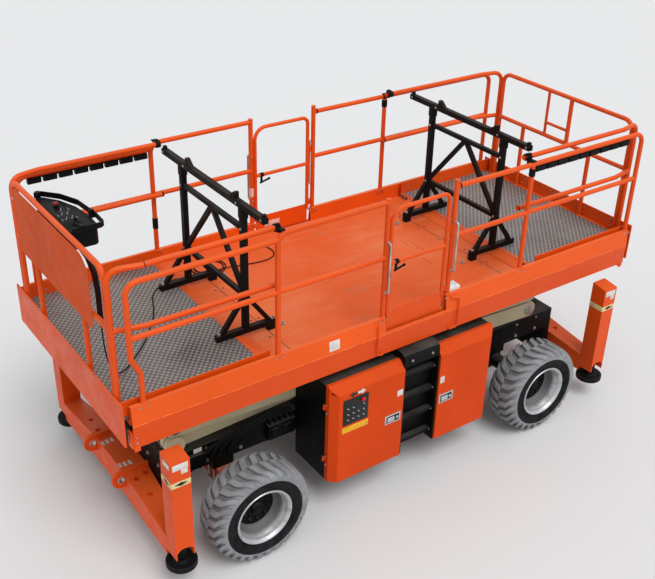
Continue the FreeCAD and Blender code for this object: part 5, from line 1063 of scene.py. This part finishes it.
mesh = bmesh.new()
for x, length, main_z in ((-1.276, 0.040, 2.612), (1.072, 0.054, 2.585)):
    sleeve(mesh, (x, -DECK_RAIL_Y, DECK_RAIL_TOP), RIGHT, length, 0.007, 0.0225)
    block(mesh, (x, -0.936, main_z - 0.006), (x + length, -0.907, main_z + 0.028), 0.003)
    block(mesh, (x, -0.968, main_z + 0.019), (x + length, -0.930, main_z + 0.029), 0.003)
    block(mesh, (x + 0.008, -0.915, DECK_RAIL_TOP + 0.022),
          (x + length - 0.008, -0.889, DECK_RAIL_TOP + 0.036), 0.003)
sleeve(mesh, (1.10, -RAIL_Y, 2.487), UP, 0.062)
sleeve(mesh, (0.322, -RAIL_Y, 2.585), RIGHT, 0.014, 0.002)
both_sides(mesh)
sleeve(mesh, (-1.29, RAIL_Y, 1.860), UP, 0.095, 0.0035)
piece("rail_clamps", mesh, "platform", "black_plastic", black_plastic)

for end, way in WAYS:
    mesh = bmesh.new()
    for height in (DECK_RAIL_TOP, DECK_RAIL_MID):
        start = (way * RAIL_INNER[end] + way * 0.002, -DECK_RAIL_Y, height)
        sleeve(mesh, start, (way, 0, 0), 0.012, 0.0018)
    both_sides(mesh)
    if end == "left":
        sleeve(mesh, (-2.235, -DECK_RAIL_Y, DECK_RAIL_TOP), RIGHT, 0.006, 0.001)
    piece(f"rail_end_rings_{end}", mesh, f"extension_{end}", "black_plastic", black_plastic)
    mesh = bmesh.new()
    for y in (-LEG_Y, -HOOP_Y, *END_POSTS[end], HOOP_Y, LEG_Y):
        turned(mesh, [(0.019, -0.001), (0.027, -0.001), (0.024, 0.004), (0.0205, 0.008), (0.019, 0.008)],
               (way * HOOP_X, y, DECK_TOP), UP, 24)
    piece(f"deck_post_welds_{end}", mesh, f"extension_{end}", "orange_paint", orange_enamel)

mesh = bmesh.new()
sleeve(mesh, (-HOOP_X, HOOP_Y, 2.480), UP, 0.014, 0.0015)
bolt(mesh, (-HOOP_X, HOOP_Y - 0.0215, 2.487), OUTWARD, 0.006)
piece("rail_band_clip", mesh, "extension_left", "galvanised_steel", zinc_bolt)


# Gates
# Half-width tube gates with a sheet kick plate, hung on two lugs at the drive-end post;
# a black lever latches each one to the other post.

GATE_MID, LATCH_X, LEVER_X, LATCH_Z, KICK_Z, PIN_X = 2.105, -0.262, -0.172, 2.030, 1.690, 0.268
dress(orange_enamel, "gate_near", "gate_far")
pale_label = shader("worn_pale_label", (0.72, 0.52, 0.44), 0.6, cloud=(120, 5, 0.42, 0.62),
                    colours=((0.80, 0.72, 0.66), (0.74, 0.16, 0.06)))
for side, way in (("near", -1), ("far", 1)):
    gate_y = way * RAIL_Y
    mesh = bmesh.new()
    sleeve(mesh, (LATCH_X, gate_y, GATE_MID), RIGHT, 0.034, 0.004, 0.0162)
    block(mesh, (-0.256, gate_y - 0.006, LATCH_Z), (-0.236, gate_y + 0.006, GATE_MID - 0.012), 0.002)
    bar(mesh, (LATCH_X, gate_y, LATCH_Z), (LEVER_X, gate_y, LATCH_Z + 0.022), 0.0085, round_off=0.002)
    bar(mesh, (LEVER_X, gate_y, LATCH_Z + 0.022), (-0.158, gate_y, LATCH_Z + 0.0255), 0.011, round_off=0.002)
    piece(f"gate_latch_{side}", mesh, f"gate_{side}", "black_plastic", black_plastic)
    mesh = bmesh.new()
    for x in (-0.28, 0.0, 0.205):
        bar(mesh, (x, way * (RAIL_Y - 0.007), KICK_Z), (x, way * (RAIL_Y + 0.007), KICK_Z), 0.006, sides=12,
            round_off=0.001)
    for z in (1.757, 2.277):
        bar(mesh, (PIN_X, gate_y, z), (PIN_X, gate_y, z + 0.0035), 0.0075, sides=16)
    piece(f"gate_rivets_{side}", mesh, f"gate_{side}", "galvanised_steel", zinc_bolt)
mesh = bmesh.new()
block(mesh, (-0.22, 0.9488, 1.590), (-0.06, 0.9512, 1.640), 0.0003)
piece("gate_worn_label", mesh, "gate_far", "galvanised_steel", pale_label)
mesh = bmesh.new()
sleeve(mesh, (-0.35, RAIL_Y, 1.92), UP, 0.085, 0.0006, 0.0201)
piece("post_worn_label", mesh, "platform", "galvanised_steel", pale_label)


# Rail pads and grab handles
# Black rubber teeth hang under two top rails to carry material; bright rods bolted to the
# gate posts are the climber's grips.

dress(hose_rubber, "rail_pads")
bright_rod = shader("galvanised_rod", (0.50, 0.50, 0.49), 0.34, 0.8,
                    cloud=(40, 5, 0.35, 0.7, 0.0, 1.0, (1, 1, 0.2)),
                    colours=((0.62, 0.61, 0.59), (0.26, 0.22, 0.18)))
dress(bright_rod, "grab_handles")
mesh = bmesh.new()
for x in (-0.35, 0.30):
    for z in (1.88, 2.30):
        bar(mesh, (x, -RAIL_Y - 0.0205, z), (x, -RAIL_Y - 0.026, z), 0.013, sides=20, round_off=0.001)
        bolt(mesh, (x, -RAIL_Y + 0.0205, z), INWARD, 0.007)
both_sides(mesh)
piece("handle_washers", mesh, "platform", "galvanised_steel", zinc_bolt)


# Pipe racks
# Two trestles of square tube, braced and painted black, stand on both decks and are
# bolted through the floor; upturned ends and two stops keep a load on the top beam.

rack_black = enamel("rack_black_enamel", (0.0050, 0.0042, 0.0038), dust=(0.16, 0.10, 0.07), dusty=0.10,
                    chipped=0.3, metal=(0.10, 0.050, 0.028), roughness=0.5, gloss=DULL)
dress(rack_black, "pipe_rack_left", "pipe_rack_right")
RACK_X, RACK_LEG_Y, RACK_TOP, RACK_END, RACK_HALF = 1.262, 0.455, 2.640, 0.742, 0.0225
FOOT_BOLT_X, FOOT_BOLT_Z, STOP_Y = 0.225, 1.613, 0.350
mesh = bmesh.new()
for x in (-RACK_X, RACK_X):
    faces = ((x + RACK_HALF, RIGHT), (x - RACK_HALF, LEFT))
    for y in (-RACK_LEG_Y, RACK_LEG_Y):
        for z in (1.8905, 2.4375):
            for face_x, way in faces:
                bolt(mesh, (face_x, y, z), way, 0.009)
        for foot_x in (x - FOOT_BOLT_X, x + FOOT_BOLT_X):
            bar(mesh, (foot_x, y, FOOT_BOLT_Z), (foot_x, y, FOOT_BOLT_Z + 0.003), 0.016, sides=20)
            bar(mesh, (foot_x, y, FOOT_BOLT_Z + 0.003), (foot_x, y, FOOT_BOLT_Z + 0.012), 0.011, sides=6,
                round_off=0.001)
    for y in (-RACK_END + 0.012, RACK_END - 0.012, -0.395, 0.395):
        for face_x, way in faces:
            bolt(mesh, (face_x, y, 2.6178), way, 0.008)
piece("rack_bolts", mesh, "platform", "galvanised_steel", zinc_bolt)
mesh = bmesh.new()
for x in (-RACK_X, RACK_X):
    for side in (-1, 1):
        stop_y, leg_y = side * STOP_Y, side * RACK_LEG_Y
        block(mesh, (x - 0.019, stop_y - 0.080, RACK_TOP - 0.001),
              (x + 0.019, stop_y + 0.080, RACK_TOP + 0.003), 0.001)
        for low_x in (x - RACK_HALF - 0.003, x + RACK_HALF):
            block(mesh, (low_x, leg_y - 0.030, 2.520), (low_x + 0.003, leg_y + 0.030, 2.595), 0.001)
piece("rack_gussets", mesh, "platform", "black_paint", rack_black)


# End panel
# A plain orange sheet bolted outside the steer-end rail under the console.

panel_orange = enamel("panel_orange_enamel", (0.66, 0.080, 0.008), dust=(0.70, 0.22, 0.07), dusty=0.05,
                      chipped=0.06, roughness=0.55, gloss=DULL)
dress(panel_orange, "end_panel")


# Control box
# A black moulded box with a rounded bulge inside the steer-end rail, a guard hoop around
# it and its joystick, stop button and switches on the top.

console_black = shader("console_black_moulding", (0.004, 0.004, 0.0045), 0.42, gloss=DULL,
                       grain=(500, 2, 0.12, 0.0005))
tree = console_black.node_tree
feed(console_black, tint(tree, product(tree, cloudy(tree, 24, 7, 0.45, 0.75), upward(tree)),
                         (0.0035, 0.0035, 0.004), (0.012, 0.0115, 0.011)))
dress(console_black, "control_box")
CONSOLE_TOP, PLATE_THICK = 2.640, 0.002
PLATE_TOP = CONSOLE_TOP + PLATE_THICK
STICK_X, STICK_Y, STOP_BUTTON_X, STOP_BUTTON_Y = -2.372, -0.155, -2.385, 0.165
mesh = bmesh.new()
block(mesh, (-2.442, -0.215, CONSOLE_TOP), (-2.318, 0.225, PLATE_TOP), 0.0008)
turned(mesh, [(0.0, 0.024), (0.014, 0.024), (0.017, 0.019), (0.020, 0.018), (0.024, 0.012), (0.027, 0.010),
              (0.031, 0.002), (0.031, 0.0), (0.0, 0.0)], (STICK_X, STICK_Y, PLATE_TOP), UP, 32)
turned(mesh, [(0.0, 0.0), (0.009, 0.0), (0.010, 0.010), (0.013, 0.018), (0.013, 0.022), (0.008, 0.026),
              (0.0, 0.0262)], (STICK_X, STICK_Y, PLATE_TOP + 0.020), UP, 24)
bar(mesh, (STOP_BUTTON_X, STOP_BUTTON_Y, PLATE_TOP), (STOP_BUTTON_X, STOP_BUTTON_Y, PLATE_TOP + 0.012), 0.021,
    round_off=0.003)
piece("console_plate", mesh, "extension_left", "black_plastic", console_black)
mesh = bmesh.new()
turned(mesh, [(0.0, 0.0), (0.011, 0.0), (0.011, 0.008), (0.020, 0.011), (0.021, 0.017), (0.016, 0.022),
              (0.0, 0.0235)], (STOP_BUTTON_X, STOP_BUTTON_Y, PLATE_TOP + 0.011), UP, 32)
dark_red = shader("console_stop_red", (0.20, 0.010, 0.008), 0.4, grain=(300, 2, 0.1, 0.0004))
piece("console_stop_button", mesh, "extension_left", "red_paint", dark_red)
mesh = bmesh.new()
for x, y in ((-2.40, -0.06), (-2.36, -0.06), (-2.40, 0.02), (-2.36, 0.02), (-2.38, 0.09)):
    bar(mesh, (x, y, PLATE_TOP), (x, y, PLATE_TOP + 0.003), 0.006, sides=6, round_off=0.001)
    bar(mesh, (x, y, PLATE_TOP + 0.003), (x + 0.006, y, PLATE_TOP + 0.018), 0.0018, 0.0025, sides=12,
        round_off=0.0005)
piece("console_switches", mesh, "extension_left", "chrome", chrome_latch)
mesh = bmesh.new()
for x, y, long in ((-2.430, -0.075, 0.030), (-2.430, 0.005, 0.030), (-2.330, -0.075, 0.026),
                   (-2.330, 0.075, 0.034)):
    block(mesh, (x, y, PLATE_TOP - 0.0002), (x + 0.008, y + long, PLATE_TOP + 0.0004), 0.0002)
dim_label = shader("dim_grey_label", (0.16, 0.16, 0.155), 0.5, grain=(200, 2, 0.05, 0.0003))
piece("console_blank_labels", mesh, "extension_left", "grey_plastic", dim_label)


# Control cable
# A black rubber cable leaves the foot of the guard beside the console, lies across the
# deck in loose turns at the far side and ends in a plug near the gate.

CABLE_RADIUS, PLUG_RADIUS, CABLE_LENGTH = 0.005, 0.014, 4.94
ON_DECK, ON_FLOOR = DECK_TOP + CABLE_RADIUS + 0.001, FLOOR_TOP + CABLE_RADIUS + 0.001
PLUG_Z = FLOOR_TOP + PLUG_RADIUS + 0.0003
cable_route = [
    (-2.4412, -0.605, 2.120), (-2.440, -0.603, 2.010), (-2.430, -0.594, 1.890), (-2.408, -0.574, 1.780),
    (-2.372, -0.542, 1.680), (-2.318, -0.495, 1.606), (-2.240, -0.432, ON_DECK + 0.002),
    (-2.145, -0.352, ON_DECK), (-2.048, -0.262, ON_DECK), (-1.958, -0.168, ON_DECK), (-1.872, -0.062, ON_DECK),
    (-1.790, 0.050, ON_DECK), (-1.716, 0.168, ON_DECK), (-1.660, 0.292, ON_DECK), (-1.618, 0.398, ON_DECK),
    (-1.552, 0.480, ON_DECK), (-1.460, 0.528, ON_DECK), (-1.380, 0.548, ON_DECK + 0.005),
    (-1.300, 0.552, ON_DECK + 0.001), (-1.222, 0.542, ON_FLOOR + 0.009), (-1.140, 0.524, ON_FLOOR),
]
COIL_X, COIL_Y, COIL_WIDE, COIL_STEP, COIL_WOBBLE = -0.975, 0.648, 0.150, 0.024, 0.004
COIL_TURNS, COIL_POINTS, COIL_START = 2, 13, math.radians(118)
HUMP = CABLE_RADIUS * 4 + 0.002
for k in range(COIL_POINTS * COIL_TURNS + 1):
    turn = math.tau * k / COIL_POINTS - COIL_START
    reach = COIL_WIDE - COIL_STEP * k / COIL_POINTS + COIL_WOBBLE * math.sin(2.3 * turn)
    lift = max(0, k + 2 - COIL_POINTS * COIL_TURNS) * HUMP / 4
    cable_route.append((COIL_X + 1.12 * reach * math.cos(turn), COIL_Y + reach * math.sin(turn),
                        ON_FLOOR + lift))
cable_route += [
    (-0.985, 0.534, ON_FLOOR + HUMP), (-0.925, 0.525, ON_FLOOR + HUMP), (-0.858, 0.527, ON_FLOOR + HUMP),
    (-0.790, 0.532, ON_FLOOR + 0.009), (-0.715, 0.527, ON_FLOOR), (-0.638, 0.511, ON_FLOOR),
    (-0.560, 0.497, ON_FLOOR), (-0.480, 0.494, ON_FLOOR), (-0.404, 0.516, ON_FLOOR), (-0.354, 0.574, ON_FLOOR),
    (-0.346, 0.646, ON_FLOOR + 0.003), (-0.364, 0.712, PLUG_Z),
]
cable = bent_rod("rubber_control_cable", cable_route, CABLE_RADIUS, "extension_left",
                 hose_rubber)
mesh = bmesh.new()
turned(mesh, [(0.0, 0.0), (0.0085, 0.0), (0.0085, 0.008), (0.0070, 0.010), (0.0082, 0.013), (0.0066, 0.016),
              (0.0078, 0.019), (0.0062, 0.024), (0.0057, 0.036), (0.0, 0.036)], cable_route[0],
       Vector(cable_route[1]) - Vector(cable_route[0]), 24)
relief = piece("cable_strain_relief", mesh, "extension_left", "black_rubber", hose_rubber)
(last_x, last_y, last_z), plug_end = cable_route[-2:]
plug_way = Vector((plug_end[0] - last_x, plug_end[1] - last_y, 0)).normalized()
mesh = bmesh.new()
turned(mesh, [(0.0, 0.0), (0.0065, 0.0), (0.0080, 0.006), (0.0118, 0.017), (0.0138, 0.019), (0.0138, 0.026),
              (0.0128, 0.027), (0.0138, 0.028), (0.0138, 0.035), (0.0128, 0.036), (0.0138, 0.037), (0.0138, 0.044),
              (0.0125, 0.045), (0.0138, 0.047), (0.0138, 0.060), (0.0115, 0.060), (0.0115, 0.052), (0.0, 0.052)],
       plug_end, plug_way, 36)
plug = piece("ribbed_cable_plug", mesh, "extension_left", "black_plastic", black_plastic)
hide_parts("control_cable")
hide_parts("cable_plug")


# Outlet box
# A pale grey plastic socket box screwed to the inner face of the near beam by the gate,
# its top edges sloped and a black socket in its end.

outlet_grey = shader("outlet_box_grey", (0.66, 0.67, 0.69), 0.4, cloud=(26, 7, 0.45, 0.8),
                     colours=((0.68, 0.69, 0.71), (0.36, 0.33, 0.30)))
BOX_LOW, BOX_HIGH = Vector((0.340, -0.943, 1.586)), Vector((0.450, -0.853, 1.701))
mesh = bmesh.new()
block(mesh, BOX_LOW, BOX_HIGH - Vector((0.0, 0.0, 0.034)), 0.004)
block(mesh, (BOX_LOW.x, BOX_LOW.y, BOX_HIGH.z - 0.036), BOX_HIGH)
peak = [edge for edge in mesh.edges if all(vert.co.z > BOX_HIGH.z - 0.001 for vert in edge.verts)]
bmesh.ops.bevel(mesh, geom=peak, offset=0.022, affect="EDGES", segments=1, profile=0.5, material=-1)
outlet = piece("outlet_box_shell", mesh, "platform", "galvanised_steel", outlet_grey)
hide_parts("outlet_box")
mesh = bmesh.new()
middle = (BOX_LOW + BOX_HIGH) / 2
block(mesh, (BOX_LOW.x - 0.001, middle.y - 0.032, BOX_LOW.z + 0.004),
      (BOX_LOW.x + 0.010, middle.y + 0.032, BOX_LOW.z + 0.064), 0.003)
block(mesh, (BOX_LOW.x - 0.013, middle.y - 0.026, BOX_LOW.z + 0.008),
      (BOX_LOW.x + 0.004, middle.y + 0.026, BOX_LOW.z + 0.056), 0.005)
for shift in (-0.022, 0.022):
    bar(mesh, (middle.x + shift, BOX_HIGH.y - 0.001, BOX_LOW.z + 0.042),
        (middle.x + shift, BOX_HIGH.y + 0.004, BOX_LOW.z + 0.042), 0.012, round_off=0.001)
piece("outlet_socket", mesh, "platform", "black_plastic", black_plastic)
mesh = bmesh.new()
for x in (BOX_LOW.x + 0.014, BOX_HIGH.x - 0.014):
    bolt(mesh, (x, BOX_HIGH.y - 0.0002, BOX_LOW.z + 0.070), INWARD, 0.004)
piece("outlet_screws", mesh, "platform", "galvanised_steel", zinc_bolt)


low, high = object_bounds()
